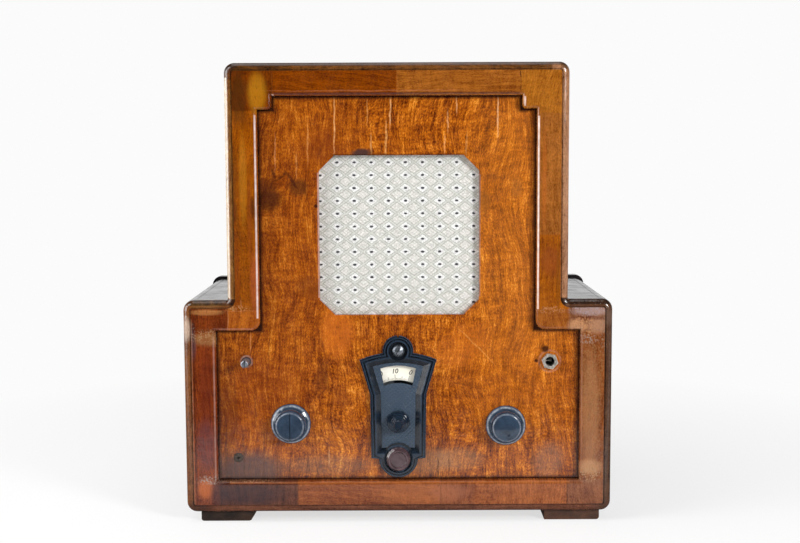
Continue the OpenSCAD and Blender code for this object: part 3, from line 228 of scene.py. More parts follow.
def paper_floor(context, settings):
    """Pale paper under the set: near white to the camera, with the set's shadow on it."""
    reach = 6
    mesh = bpy.data.meshes.new("floor")
    mesh.from_pydata([(-reach, -reach, 0), (reach, -reach, 0), (reach, reach, 0), (-reach, reach, 0)],
                     [], [(0, 1, 2, 3)])
    floor = bpy.data.objects.new("floor", mesh)
    context.scene.collection.objects.link(floor)
    material, tree, shader = new_material("pale_matt_paper")
    feed(shader, {"Base Color": hex_colour("#f2f2f2"), "Roughness": 0.8})
    white = add(tree, "ShaderNodeEmission", {"Color": hex_colour(BACKDROP), "Strength": 1})
    dark = add(tree, "ShaderNodeEmission", {"Strength": 0.05})
    path = add(tree, "ShaderNodeLightPath").outputs
    place = add(tree, "ShaderNodeTexCoord").outputs["Object"]
    depth = add(tree, "ShaderNodeSeparateXYZ", [place]).outputs["Y"]
    # Reflections see the paper end in front of the set, and the set's own shade close to it
    front, soft_edge = settings.floor_front, 0.12
    beyond = add(tree, "ShaderNodeMapRange", [depth, front, front - soft_edge, 0, 1])
    shade = add(tree, "ShaderNodeMapRange", [depth, -0.3, -0.11, 0, 0.85])
    hidden = add(tree, "ShaderNodeMath", [beyond, shade], operation="MAXIMUM")
    hidden = add(tree, "ShaderNodeMath", [hidden, path["Is Glossy Ray"]], operation="MULTIPLY")
    # The camera sees the set's shadow close to it, and plain white from 0.8 m off
    away = add(tree, "ShaderNodeVectorMath", [place], operation="LENGTH").outputs["Value"]
    fade = add(tree, "ShaderNodeMapRange", [away, 0.3, 0.8, 0.7, 1])
    share = add(tree, "ShaderNodeMath", [path["Is Camera Ray"], fade], operation="MULTIPLY")
    seen = add(tree, "ShaderNodeMixShader", [share, shader, white])
    seen = add(tree, "ShaderNodeMixShader", [hidden, seen, dark])
    feed(tree.nodes["Material Output"], [seen])
    mesh.materials.append(material)


class RADIO_OT_stage(bpy.types.Operator):
    """Make the camera, the softboxes, the world and the pale floor"""

    bl_idname = "radio.stage"
    bl_label = "Stage"

    def execute(self, context):
        settings = context.scene.radio_stage
        context.scene.view_settings.view_transform = "Standard"
        camera = bpy.data.objects.new("camera", bpy.data.cameras.new("camera"))
        camera.data.lens = settings.lens
        camera.data.sensor_width = 36
        camera.data.clip_start = 0.01
        camera.matrix_world = (Matrix.Translation(settings.camera_place)
                               @ Matrix.Rotation(settings.camera_tilt, 4, "X")
                               @ Matrix.Rotation(settings.camera_roll, 4, "Z"))
        context.scene.collection.objects.link(camera)
        context.scene.camera = camera
        for name, row in SOFTBOXES.items():
            softbox(context, f"{name}_softbox", getattr(settings, f"{name}_power"), *row)
        studio_world(context, settings)
        paper_floor(context, settings)
        return {"FINISHED"}


def swayed(tree, place, push, size, detail=2, sampled=None):
    """A place pushed about by a noise, whose swells have a size, by up to half of push either way."""
    noise = add(tree, "ShaderNodeTexNoise", {"Vector": sampled or place, "Scale": 1 / size,
                "Detail": detail}).outputs["Color"]
    centred = add(tree, "ShaderNodeVectorMath", [noise, (0.5, 0.5, 0.5)], operation="SUBTRACT")
    return add(tree, "ShaderNodeVectorMath", [centred, push, place], operation="MULTIPLY_ADD")


def veneer_group():
    """Node group of walnut's figure: its vector is in millimetres, X across the grain and Y along it."""
    group = bpy.data.node_groups.new("walnut_figure", "ShaderNodeTree")
    group.interface.new_socket("Place", in_out="INPUT", socket_type="NodeSocketVector")
    group.interface.new_socket("Tone", in_out="OUTPUT", socket_type="NodeSocketFloat")
    group.interface.new_socket("Pores", in_out="OUTPUT", socket_type="NodeSocketFloat")
    bent = add(group, "NodeGroupInput").outputs["Place"]
    # A slow bend that sways the grain and a quick one that curls it: sizes and pushes in millimetres
    for across, along, push, rise in ((70, 120, 50, 14), (13, 34, 4, 2)):
        sized = add(group, "ShaderNodeVectorMath", [bent, (1 / across, 1 / along, 1)], operation="MULTIPLY")
        bent = swayed(group, bent, (push, rise, 0), 1, 1.5, sized)
    # Real sizes across and along the grain in millimetres, detail, and how much each layer counts
    layers = {"bands": (15, 80, 2, 0.23), "stripes": (3.6, 42, 2, 0.27), "strokes": (1.5, 15, 2, 0.3),
              "curl": (15, 6, 2, 0.22), "specks": (1, 2.2, 1, 0.34), "pores": (0.6, 5, 1, 0)}
    tone = 0.5
    for across, along, detail, weight in layers.values():
        scaled = add(group, "ShaderNodeVectorMath", [bent, (1 / across, 1 / along, 1)],
                     operation="MULTIPLY")
        layer = add(group, "ShaderNodeTexNoise", {"Vector": scaled, "Scale": 1, "Detail": detail})
        if weight:
            spread = add(group, "ShaderNodeMapRange", [layer, 0.34, 0.66, -weight / 2, weight / 2])
            tone = add(group, "ShaderNodeMath", [spread, tone], operation="ADD")
    # The last layer, which has no weight, is the one that opens the pores
    pores = add(group, "ShaderNodeMapRange", [layer, 0.33, 0.42, 1, 0])
    add(group, "NodeGroupOutput", [tone, pores])
    return group


def figure(tree, group, place, turn, seed):
    """Walnut figure on the front, its grain upright, or turned by an angle in the front's plane."""
    turned = add(tree, "ShaderNodeMapping", {"Vector": place, "Location": (seed, 0, seed * 1.7),
                 "Rotation": (0, turn, 0)})
    x, _, z = add(tree, "ShaderNodeSeparateXYZ", [turned]).outputs
    flat = add(tree, "ShaderNodeCombineXYZ", [x, z])
    veneer = add(tree, "ShaderNodeGroup", [flat], node_tree=group)
    return veneer.outputs["Tone"], veneer.outputs["Pores"]


def oval(tree, place, centre, radii, turn):
    """A soft oval mask in the front's plane: X and Z in millimetres, its turn in degrees."""
    local = add(tree, "ShaderNodeMapping", {"Vector": place, "Location": (centre[0], 0, centre[1]),
                "Rotation": (0, math.radians(turn), 0), "Scale": (radii[0], THROUGH, radii[1])},
                vector_type="TEXTURE")
    return add(tree, "ShaderNodeTexGradient", [local], gradient_type="SPHERICAL").outputs["Fac"]


def over(tree, colour, upper, *shares):
    """Lays a colour over another one by the product of some shares. Either can be the code of one."""
    share = shares[0]
    for factor in shares[1:]:
        share = add(tree, "ShaderNodeMath", [share, factor], operation="MULTIPLY")
    lower, upper = (hex_colour(c) if isinstance(c, str) else c for c in (colour, upper))
    return add(tree, "ShaderNodeMix", {0: share, 6: lower, 7: upper}, data_type="RGBA").outputs[2]


def stain(tree, place, colour, centre, radii, code, strength, turn=0, *broken):
    """Lays a colour over another one in a soft oval, which a noise can break up."""
    mask = oval(tree, place, centre, radii, turn)
    share = add(tree, "ShaderNodeMapRange", [mask, 0, 0.6, 0, strength], interpolation_type="SMOOTHSTEP")
    return over(tree, colour, code, share, *broken)


def zone(tree, place, x_range, z_range, soft=0.4):
    """A mask of a rectangle on the front, its edges in millimetres."""
    centre = (sum(x_range) / 2, 0, sum(z_range) / 2)
    half = ((x_range[1] - x_range[0]) / 2, THROUGH, (z_range[1] - z_range[0]) / 2)
    apart = add(tree, "ShaderNodeVectorMath", [place, centre], operation="SUBTRACT")
    apart = add(tree, "ShaderNodeVectorMath", [apart], operation="ABSOLUTE")
    apart = add(tree, "ShaderNodeVectorMath", [apart, half], operation="SUBTRACT")
    x, _, z = add(tree, "ShaderNodeSeparateXYZ", [apart]).outputs
    furthest = add(tree, "ShaderNodeMath", [x, z], operation="MAXIMUM")
    return add(tree, "ShaderNodeMapRange", [furthest, -soft, soft, 1, 0])


def roughened(tree, place, scale, low, high, detail=3):
    """A noise between two values, its scale a length in millimetres."""
    noise = add(tree, "ShaderNodeTexNoise", {"Vector": place, "Scale": 1 / scale, "Detail": detail})
    return add(tree, "ShaderNodeMapRange", [noise, 0.3, 0.7, low, high])


# The panel's visible field: X range and Z range of the three boxes that make it up
FIELD_BOXES = (((-135.9, 135.9), (160, 409.4)), ((-121.6, 121.6), (160, 422.4)),
               ((-179.9, 179.9), (42, 193.4)))


def along_field(tree, place, start, full):
    """A mask along the outline of the panel's field: millimetres inside it where it starts and is full."""
    inside = 0
    for x_range, z_range in FIELD_BOXES:
        box = zone(tree, place, x_range, z_range, start)
        inside = add(tree, "ShaderNodeMath", [inside, box], operation="MAXIMUM")
    return add(tree, "ShaderNodeMapRange", [inside, 1, 0.5 + full / start / 2, 0, 1])


def polish(tree, shader, place, colour, pores, low=0.12, high=0.24):
    """French polish: gloss that dulls in patches, with pores and slight waves under it."""
    # Waves 7 mm long and pores a quarter as deep, and patches 14 mm wide
    waves = roughened(tree, place, 7, 0, 1, 2)
    height = add(tree, "ShaderNodeMath", [pores, -0.25, waves], operation="MULTIPLY_ADD")
    bump = add(tree, "ShaderNodeBump", {"Strength": 0.5, "Distance": 0.00018, "Height": height})
    dull = roughened(tree, place, 14, low, high)
    feed(shader, {"Base Color": colour, "Roughness": dull, "Normal": bump})


# The panel's veneer from its dark figure to its pale one
PANEL_TONES = ((0, "#300f02"), (0.25, "#652a05"), (0.5, "#8f470a"), (0.75, "#b86613"), (1, "#dc9032"))
# Dark dents near the jack and on the left of the speaker opening: middle and radius
PANEL_DENTS = (((146, 173), 5), ((137, 161.2), 2.4), ((-79.8, 315.6), 2.6))
# Edges of the speaker opening: left and right side, and top
PANEL_BARS = (
    ((-78.3, -76.2), (225, 348), "#b99c92", 0.75), ((79.6, 81.4), (226, 346), "#77706f", 0.6),
    ((-63, 65), (364.4, 366.2), "#22130d", 0.75),
)
# Soft differences of colour in the panel: middle, radii, colour, strength and turn
PANEL_STAINS = (
    ((-100, 300), (130, 190), "#7c380c", 0.3, 0), ((125, 300), (85, 190), "#c87c30", 0.2, 0),
    ((120, 140), (90, 75), "#c8701a", 0.18, 0), ((-140, 120), (75, 70), "#7a330c", 0.42, 0),
    ((-128, 322), (22, 16), "#3a1a0c", 0.75, 0), ((-97, 334), (13, 11), "#4a2710", 0.7, 0),
    ((-128, 337), (16, 8), "#4f230c", 0.55, 0), ((-75, 372), (26, 22), "#6d2d0e", 0.4, 0),
    ((85, 319), (9, 16), "#7c4a1c", 0.5, 0), ((117, 333), (8, 14), "#8c5524", 0.45, 0),
    ((-150, 52), (50, 26), "#4b3a38", 0.85, 0), ((-70, 56), (60, 14), "#7a5a44", 0.4, 0),
    ((30, 60), (36, 18), "#8a6548", 0.45, 0), ((60, 62), (34, 16), "#9a7250", 0.35, 0),
    ((150, 60), (20, 26), "#8a6048", 0.5, 20), ((-60, 190), (22, 34), "#c8691c", 0.45, 0),
    ((-76, 146), (9, 24), "#5e2c10", 0.5, 8), ((-58, 125), (16, 12), "#7b3b12", 0.4, 0),
    ((-170, 100), (14, 60), "#5f2a0e", 0.45, 0), ((62, 176), (40, 26), "#c46a1e", 0.35, -30),
    ((-88, 235), (20, 14), "#6f3610", 0.5, 35), ((-52, 253), (12, 5), "#6a3a18", 0.4, 0),
)
# Fine lines in the panel: ends, width, colour and strength. The pale ones are cracks in the polish, their
# paleness a painted highlight in each groove
PANEL_LINES = (
    ((-60.9, 424), (-61.4, 366), 1.5, "#d99a5c", 0.8), ((-87.3, 396), (-87.7, 358), 1.5, "#cf8a46", 0.65),
    ((-98.4, 366), (-98.6, 344), 1.5, "#cf8a46", 0.55), ((-6, 424), (-6.8, 394), 1.6, "#dba266", 0.8),
    ((-10.3, 396), (-11.3, 366), 2.2, "#d99c55", 0.75), ((-25.4, 385), (-25.5, 365), 1.8, "#cf9350", 0.7),
    ((-15.5, 377), (-15.5, 364), 1.2, "#4a2410", 0.7), ((-119.2, 384), (-119.4, 352), 1.4, "#cf8a50", 0.6),
    ((58, 424), (58, 406), 1.4, "#dca36a", 0.75), ((49.5, 408), (49.5, 388), 1.4, "#d69a5e", 0.7),
    ((46.3, 384), (46.3, 366), 1.4, "#d69a5e", 0.65), ((98.3, 424), (98.4, 384), 1.6, "#e0b07c", 0.65),
    ((68, 386), (67.3, 366), 1.8, "#d69a52", 0.5), ((-29, 418), (-29, 396), 1.4, "#d69a52", 0.5),
    ((-122.5, 352), (-119.2, 341), 2.6, "#3a1a0a", 0.9), ((-119.2, 341), (-111, 346), 2.4, "#3f1d0b", 0.8),
    ((-111, 346), (-108.9, 349), 2.6, "#3f1d0b", 0.7), ((-108.9, 349), (-98, 333), 2.8, "#3a1a0a", 0.85),
    ((-92, 336), (-88, 321), 2.6, "#4a220c", 0.7), ((-107, 346), (-110, 330), 1.6, "#5a2a10", 0.6),
    ((-121, 350), (-124, 330), 1.8, "#4a2210", 0.6), ((-72, 376), (-78, 362), 2.2, "#54240c", 0.6),
    ((52.5, 139.5), (76.9, 136), 1.9, "#6a340e", 0.75), ((75, 137), (86, 122), 1.8, "#6a340e", 0.7),
    ((-109, 60), (-109, 42), 1.5, "#33180e", 0.8), ((-121.2, 68), (-121.4, 42), 1.5, "#4a281a", 0.7),
    ((-90.6, 66), (-90.7, 52), 1.4, "#40200f", 0.7), ((-69.2, 74), (-69.4, 56), 1.4, "#d8a066", 0.5),
    ((-80, 56), (-83, 42), 1.4, "#4a2814", 0.6), ((39.4, 63), (39.4, 42), 1.6, "#33180c", 0.85),
    ((50.3, 66), (50.3, 42), 1.4, "#442414", 0.75), ((107.9, 70), (108, 42), 1.5, "#4a2812", 0.7),
    ((133.3, 78), (133.5, 42), 1.6, "#4a2812", 0.75), ((135, 66), (135.6, 56), 2.4, "#5a3014", 0.7),
    ((-6, 52), (-6, 42), 1.5, "#33180c", 0.7), ((-70, 88), (-72, 42), 1.2, "#5d3014", 0.5),
    ((-155, 90), (-154, 42), 2.2, "#3a2418", 0.6), ((-172, 100), (-172, 42), 2.6, "#45281c", 0.55),
    ((-134, 90), (-135, 42), 2.0, "#4a2a1c", 0.5), ((-163, 150), (-161, 95), 1.6, "#5a2a10", 0.6),
    ((-146, 190), (-146, 172), 1.4, "#c98444", 0.6), ((-127, 196), (-131, 130), 1.6, "#5a2a10", 0.5),
    ((-143, 135), (-142, 98), 1.8, "#5a2a10", 0.55), ((-80, 196), (-62, 128), 1.8, "#6a300e", 0.55),
    ((-104, 196), (-98, 150), 1.5, "#69300e", 0.5), ((-72, 150), (-70, 132), 3.4, "#4f2610", 0.7),
    ((95, 188), (93, 168), 1.8, "#6a3410", 0.6), ((150, 150), (156, 100), 1.6, "#7a3c10", 0.55),
    ((140, 120), (158, 74), 2.0, "#7a3c10", 0.55), ((128, 104), (140, 82), 2.2, "#7c4214", 0.45),
    ((150, 110), (170, 70), 1.8, "#6a3410", 0.55), ((160, 140), (172, 112), 1.8, "#6a3410", 0.5),
    ((62, 192), (94, 160), 1.4, "#e09c48", 0.45), ((94, 300), (92, 270), 2.0, "#7c4216", 0.5),
    ((114, 300), (113, 284), 2.2, "#6f3b14", 0.55), ((96, 245), (96, 218), 1.8, "#70400f", 0.45),
)


def streaks(tree, place, colour, lines):
    """Draws fine wavy lines over a colour, each its ends, width, colour and strength."""
    wavy = swayed(tree, place, (2.6, 2.6, 2.6), 8)
    broken = roughened(tree, place, 3.5, 0.35, 1.1, 2)
    for start, end, width, code, strength in lines:
        middle = ((start[0] + end[0]) / 2, (start[1] + end[1]) / 2)
        radii = (width * 0.75, math.dist(start, end) * 0.75)
        turn = math.degrees(math.atan2(end[0] - start[0], end[1] - start[1]))
        colour = stain(tree, wavy, colour, middle, radii, code, strength, turn, broken)
    return colour


def bars(tree, place, colour, rows):
    """Draws straight bars over a colour, worn, dirty, painted highlight or painted shade: X range, Z range,
    colour and strength of each.
    """
    broken = roughened(tree, place, 5, 0.55, 1, 2)
    for x_range, z_range, code, strength in rows:
        colour = over(tree, colour, code, zone(tree, place, x_range, z_range), strength, broken)
    return colour


def worn_ring(tree, place, colour, centre, radius, width, code, strength):
    """A pale ring: rubbed in the polish round a shaft, and a painted highlight in the rim of a knob."""
    moved = add(tree, "ShaderNodeVectorMath", [place, (centre[0], 0, centre[1])], operation="SUBTRACT")
    moved = add(tree, "ShaderNodeVectorMath", [moved, (1, 0, 1)], operation="MULTIPLY")
    away = add(tree, "ShaderNodeVectorMath", [moved], operation="LENGTH").outputs["Value"]
    off = add(tree, "ShaderNodeMath", [away, radius], operation="SUBTRACT")
    off = add(tree, "ShaderNodeMath", [off], operation="ABSOLUTE")
    share = add(tree, "ShaderNodeMapRange", [off, width, 0, 0, strength])
    return over(tree, colour, code, share, roughened(tree, place, 3, 0.2, 1))


def panel_material(group):
    """Figured walnut veneer, sanded and French polished: warm curls, old cracks and a soft gloss."""
    material, tree, shader = new_material("figured_walnut_veneer_french_polished")
    place = millimetres(tree)
    tone, pores = figure(tree, group, place, 0, 210)
    colour = ramp_stops(add(tree, "ShaderNodeValToRGB", [tone]), PANEL_TONES)
    for row in PANEL_STAINS:
        colour = stain(tree, place, colour, *row)
    colour = streaks(tree, place, colour, PANEL_LINES)
    colour = over(tree, colour, "#54260d", pores, 0.5)
    # Painted shade and some dirt in the corner between the panel and its frame
    colour = over(tree, colour, "#1c0a06", along_field(tree, place, 4, 0.8), 0.94)
    colour = worn_ring(tree, place, colour, front_middle("switch_spindle"), 5.4, 1.5, "#a58d7c", 0.75)
    colour = worn_ring(tree, place, colour, front_middle("jack_nut"), 10.5, 1.6, "#b08068", 0.6)
    for centre, radius in PANEL_DENTS:
        colour = stain(tree, place, colour, centre, (radius, radius), "#2a1008", 0.9)
    # Dark blot at the top edge of the speaker opening
    colour = stain(tree, place, colour, (-35, 367), (13, 6), "#3f2b28", 0.95, -6)
    colour = bars(tree, place, colour, PANEL_BARS)
    polish(tree, shader, place, colour, pores)
    return material


# Pieces of veneer on the frame: X range, Z range, dark and light colour, and whether the grain lies level
FRAME_PIECES = (
    ((-213, -120.5), (422, 460), "#341000", "#763601", False),
    ((-213, -120.5), (404, 424), "#371200", "#793401", False),
    ((-120.5, 0), (418, 460), "#461600", "#864002", True),
    ((0, 119.8), (418, 460), "#5a2604", "#a4621f", True),
    ((119.8, 213), (404, 460), "#662f04", "#a9691e", False),
    ((-213, -134), (213.3, 408), "#4f1f01", "#9c5205", False),
    ((134, 213), (287, 405), "#5d2d07", "#9f6025", False),
    ((134, 213), (213.3, 287), "#5b2501", "#a3590b", False),
    ((-167, -120), (190, 213.3), "#6d2a04", "#ac611b", False),
    ((-213, -167), (190, 225), "#310a02", "#7b350d", False),
    ((120, 168), (190, 213.3), "#572105", "#9a581d", False),
    ((168, 213), (190, 225), "#49210c", "#805232", False),
    ((-213, -178), (42, 192), "#350d02", "#8b3c10", False),
    ((178, 213), (42, 192), "#502006", "#8a4e23", False),
    ((-213, -178), (8, 42), "#441509", "#8e492b", False),
    ((-178, -100), (8, 43), "#27110d", "#693b29", False),
    ((-100, 40), (8, 43), "#511f0b", "#925128", True),
    ((40, 75), (8, 43), "#51220c", "#95542e", False),
    ((75, 167.7), (8, 43), "#5e270b", "#a66030", False),
    ((167.7, 213), (8, 43), "#4d2518", "#8a5434", False),
)
# Soft differences of colour on the frame
FRAME_STAINS = (
    ((-153, 420), (10, 34), "#3f2408", 0.6), ((-135, 425), (12, 26), "#c8891a", 0.4),
    ((-141, 315), (4, 12), "#3a1a0a", 0.7), ((-160, 310), (5, 16), "#4a200a", 0.7),
    ((-160, 345), (6, 40), "#4f2a08", 0.35), ((-150, 340), (5, 60), "#a8701c", 0.4),
    ((-144, 300), (3, 60), "#7a3a14", 0.4), ((-140, 240), (6, 40), "#9a4a28", 0.5),
    ((-157, 245), (3.5, 60), "#6a2c08", 0.5), ((143, 340), (3, 70), "#a8561c", 0.4),
    ((150, 262), (14, 20), "#7a3a16", 0.6), ((157, 245), (3, 40), "#6a3a08", 0.5),
    ((-188, 212), (22, 4), "#c88a4c", 0.35), ((-187, 185), (20, 9), "#8a5c34", 0.75),
    ((-204, 180), (7, 22), "#4c4148", 0.6), ((190, 212), (26, 6), "#a48a84", 0.55),
    ((176, 197), (12, 10), "#bb8a64", 0.55), ((196, 198), (14, 12), "#b08468", 0.5),
    ((188, 205), (24, 3), "#54221a", 0.5), ((190, 110), (12, 80), "#a87a54", 0.35),
    ((-190, 140), (10, 60), "#5a1c0c", 0.5), ((-192, 35), (10, 13), "#a8582a", 0.75),
    ((-147, 29), (44, 15), "#2c2229", 0.6), ((-178, 30), (12, 20), "#2c2026", 0.6),
    ((190, 56), (16, 10), "#b88a60", 0.5), ((-190, 80), (14, 34), "#5a3234", 0.55),
    ((50, 30), (26, 12), "#74483c", 0.4), ((20, 30), (60, 16), "#b86c38", 0.3),
)
# Edges of the frame: painted highlights along its rounded inner edges, painted shade in the dark bead under
# the top rail, the foot's edge
FRAME_BARS = (
    ((-182.4, -181), (46, 188), "#c09484", 0.4), ((-138.6, -137), (206, 404), "#efdcd4", 0.75),
    ((136.8, 138.2), (214, 402), "#f2e0d2", 0.85), ((123.2, 124.6), (412, 421), "#e8d4c8", 0.7),
    ((180.6, 182.2), (50, 188), "#a8704e", 0.4), ((-168, 170), (40, 41.2), "#b86c34", 0.4),
    ((-170, 172), (8.6, 11), "#2c140c", 0.75), ((-119, 119), (423.4, 425.6), "#3a1b1a", 0.8),
    ((-206, -204.2), (16, 205), "#2a0d04", 0.6), ((-203.9, -202.6), (16, 205), "#a8704c", 0.45),
    ((-201.6, -199.8), (16, 205), "#3a1408", 0.5), ((-176, -142), (194.4, 195.8), "#b0765a", 0.4),
    ((-120.8, -119), (411, 424), "#d8b8a8", 0.5),
)
# Patches on the frame where the polish has flaked and left specks
FRAME_WORN = (
    ((-188, 188), (20, 9), "#8f6c48", 0.8), ((-176, 182), (9, 8), "#a37c54", 0.7),
    ((-205, 192), (7, 14), "#7a6c60", 0.6), ((-186, 44), (20, 6), "#8f8278", 0.7),
    ((-178, 50), (6, 10), "#98887c", 0.5), ((188, 214), (26, 9), "#8d7c7c", 0.8),
    ((182, 197), (18, 13), "#b37f56", 0.6), ((204, 190), (8, 30), "#7d6250", 0.7),
    ((192, 150), (18, 70), "#8f6a40", 0.35), ((196, 80), (14, 60), "#866044", 0.35),
    ((188, 48), (18, 10), "#9a7a58", 0.6), ((-206, 110), (4, 90), "#a08c7c", 0.5),
    ((-150, 43), (40, 3), "#b98a62", 0.6), ((186, 184), (16, 6), "#8a7a70", 0.6),
    ((-158, 216), (16, 4), "#a87c50", 0.5), ((150, 213), (20, 5), "#a87a50", 0.5),
)
# Joints between the pieces of veneer, and cracks in them
FRAME_LINES = (
    ((-120.3, 452), (-120.5, 423), 0.9, "#3a1c08", 0.6), ((119.7, 452), (119.8, 423), 1.1, "#3c1a08", 0.85),
    ((167.6, 40), (167.8, 14), 1.1, "#3a1c10", 0.85), ((-166.8, 212), (-167, 193), 1.0, "#c98a5a", 0.4),
    ((-167, 213.3), (-135, 213.3), 0.9, "#c07a44", 0.3), ((-166, 213.3), (-200, 213), 1.0, "#b07a44", 0.25),
    ((-100, 40), (-100, 12), 1.0, "#3c1c10", 0.6), ((42, 40), (42, 12), 1.1, "#4a2418", 0.5),
    ((75, 40), (75, 14), 1.0, "#5a2c1a", 0.4), ((128, 40), (128, 14), 1.2, "#5e3018", 0.5),
    ((-118, 427.2), (60, 427.2), 1.2, "#b5714a", 0.35), ((-201.6, 190), (-201, 20), 1.1, "#200c06", 0.85),
    ((-154, 225), (-154, 212), 1.0, "#c08a5a", 0.3), ((-164, 370), (-148, 240), 1.8, "#6a3c0c", 0.4),
    ((-137.5, 352), (-137, 305), 1.3, "#16100c", 0.85), ((-137.6, 300), (-137, 270), 1.0, "#2a140a", 0.6),
)


def veneered(name, group, pieces, stains, lines, edges, worn, seed, low=0.11, high=0.22):
    """Walnut veneer laid in pieces and French polished, each piece with its own tone and grain."""
    material, tree, shader = new_material(name)
    place = millimetres(tree)
    upright, pores = figure(tree, group, place, 0, seed)
    level, _ = figure(tree, group, place, math.radians(90), seed + 31)
    colour = "#8a4a1c"
    for x_range, z_range, dark, light, lies in pieces:
        grain = over(tree, dark, light, level if lies else upright)
        colour = over(tree, colour, grain, zone(tree, place, x_range, z_range, 0.9))
    for row in stains:
        colour = stain(tree, place, colour, *row)
    colour = streaks(tree, place, colour, lines)
    colour = over(tree, colour, "#3c1a0a", pores, 0.4)
    colour = bars(tree, place, colour, edges)
    specks = roughened(tree, place, 1.5, -1.1, 1.5)
    for row in worn:
        colour = stain(tree, place, colour, *row, 0, specks)
    polish(tree, shader, place, colour, pores, low, high)
    return material


# Pieces of veneer on the rounded moulding: left side of the tower, its top in two, its right side,
# the lower sides and the foot
MOULDING_PIECES = (
    ((-220, -150), (200, 440), "#4a2408", "#a87a3c", False),
    ((-220, -100), (438, 470), "#1c120c", "#6a4018", True),
    ((-100, 220), (438, 470), "#241106", "#7a4c22", True),
    ((150, 214), (225, 452), "#5e341a", "#ab7c58", False),
    ((-220, -160), (5, 225), "#3c1608", "#80502a", False),
    ((160, 220), (5, 225), "#2e180d", "#5a3c28", False),
    ((-200, 200), (5, 20), "#3c1c10", "#7a4a34", True),
)
# Soft differences of colour on the moulding
MOULDING_STAINS = (
    ((-166, 452), (14, 10), "#15120f", 0.8), ((-80, 455), (130, 5), "#2a170c", 0.5),
    ((60, 455), (90, 4), "#4a2a12", 0.4), ((166, 452), (10, 8), "#2c2218", 0.7),
    ((166, 300), (4, 140), "#a07860", 0.4), ((205, 206), (12, 12), "#6a5244", 0.5),
    ((-208, 195), (6, 16), "#d8c4b0", 0.4), ((-188, 219), (24, 5), "#8a6a3a", 0.4),
    ((-200, 16), (14, 10), "#35221c", 0.7), ((200, 18), (14, 10), "#4a342c", 0.5),
)
# Top edges of the moulding painted dark, partly as a painted dark reflection, with brown wood under them,
# and a painted highlight down its left side
MOULDING_BARS = (
    ((-170, 170), (451, 457), "#2c1408", 0.8), ((-216, -160), (218.6, 225), "#140c0a", 0.88),
    ((160, 216), (218.6, 225), "#140c0a", 0.88), ((-168, -164.6), (226, 440), "#efe2d0", 0.6),
    ((-164, -160), (226, 450), "#4a200c", 0.6),
    ((-208, -160), (214, 218.4), "#5c3216", 0.55), ((160, 208), (214, 218.4), "#5c3a26", 0.45),
)


class RADIO_OT_cabinet(bpy.types.Operator):
    """Give the cabinet's front panel, frame and moulding their walnut veneer"""

    bl_idname = "radio.cabinet"
    bl_label = "Cabinet"

    def execute(self, context):
        group = veneer_group()
        dress(panel_material(group), "front_panel")
        dress(veneered("cross_banded_walnut_veneer_french_polished", group, FRAME_PIECES, FRAME_STAINS,
                       FRAME_LINES, FRAME_BARS, FRAME_WORN, 90), "front_frame")
        dress(veneered("walnut_moulding_french_polished", group, MOULDING_PIECES, MOULDING_STAINS, (),
                       MOULDING_BARS, (), 160, 0.12, 0.26), "edge_moulding")
        return {"FINISHED"}


# Plain finishes: colour, second colour, roughness from and to, metallic, spot size, bump size and height
# in millimetres. The name says what the piece is made of and how its surface was made
FINISHES = {
    # Deep black gloss, orange peel, dulled in patches: mirrors the backdrop on the flat boards
    "cabinet_lacquer": ("black_nitrocellulose_lacquer_sprayed", "#110f12", "#251f20", 0.1, 0.24, 0, 30,
                        4, 0.03),
    # Pale boards inside, their fibres drawn broader than real so that they show
    "raw_wood": ("pine_sawn_unfinished", "#b08352", "#8a5c34", 0.65, 0.85, 0, 9, 1.6, 0.12),
    # Dark brown stain that has worn thin in places
    "foot_wood": ("beech_planed_stained", "#341f15", "#5a3826", 0.35, 0.6, 0, 12, 2, 0.06),
    # Brown pressed board with short fibres
    "back_board": ("fibreboard_pressed_stained", "#4a3725", "#654a30", 0.6, 0.8, 0, 3, 0.8, 0.05),
    # Bluish black resin, gloss gone matt in patches from handling
    "black_moulding": ("phenolic_resin_black_moulded", "#1e2937", "#303f51", 0.06, 0.16, 0, 8, 1.4, 0.006),
    # Brown resin with paler clouds of filler
    "brown_moulding": ("phenolic_resin_brown_moulded", "#35262a", "#524044", 0.08, 0.2, 0, 6, 1, 0.01),
    # Ivory sheet that has yellowed unevenly
    "dial_card": ("celluloid_ivory_printed", "#f7f5ea", "#ece6d4", 0.35, 0.5, 0, 14, 1, 0.004),
    # Warm bright metal with dull specks
    "nickel": ("brass_nickel_plated", "#e6e2da", "#b3aca2", 0.4, 0.58, 1, 2.2, 0.8, 0.01),
    # Grey metal with a fine grain from the tool
    "steel": ("steel_turned", "#9b9893", "#6d6a66", 0.25, 0.45, 1, 2.5, 0.5, 0.01),
    # Dull zinc with spangles
    "sheet_steel": ("steel_sheet_zinc_plated", "#9fa3a6", "#83878a", 0.32, 0.5, 1, 12, 3, 0.01),
    # Blue black oxide
    "dark_steel": ("steel_blued", "#4a4a4f", "#2f2d2d", 0.35, 0.55, 1, 5, 1, 0.01),
    # Yellow metal, tarnished brown in spots
    "brass": ("brass_turned", "#b9924c", "#8a6634", 0.25, 0.45, 1, 4, 0.7, 0.01),
    # Pale grey drawn sheet
    "aluminium": ("aluminium_sheet_drawn", "#b9bcbf", "#9fa2a5", 0.28, 0.45, 1, 7, 0.9, 0.008),
    # Stoved black enamel with dust
    "black_metal": ("steel_black_enamelled", "#131315", "#2a2826", 0.25, 0.45, 0, 9, 2, 0.015),
    # Varnished brown paper
    "coil_paper": ("paper_wound_varnished", "#6d4a25", "#4c3018", 0.3, 0.5, 0, 10, 2.5, 0.05),
    # Grey green card dipped in wax
    "waxed_card": ("card_waxed", "#6b6a52", "#57563f", 0.3, 0.5, 0, 12, 3, 0.04),
    # Black felted paper pulp
    "cone_paper": ("paper_pulp_felted_black", "#2a2724", "#3a3631", 0.75, 0.9, 0, 4, 0.7, 0.06),
}


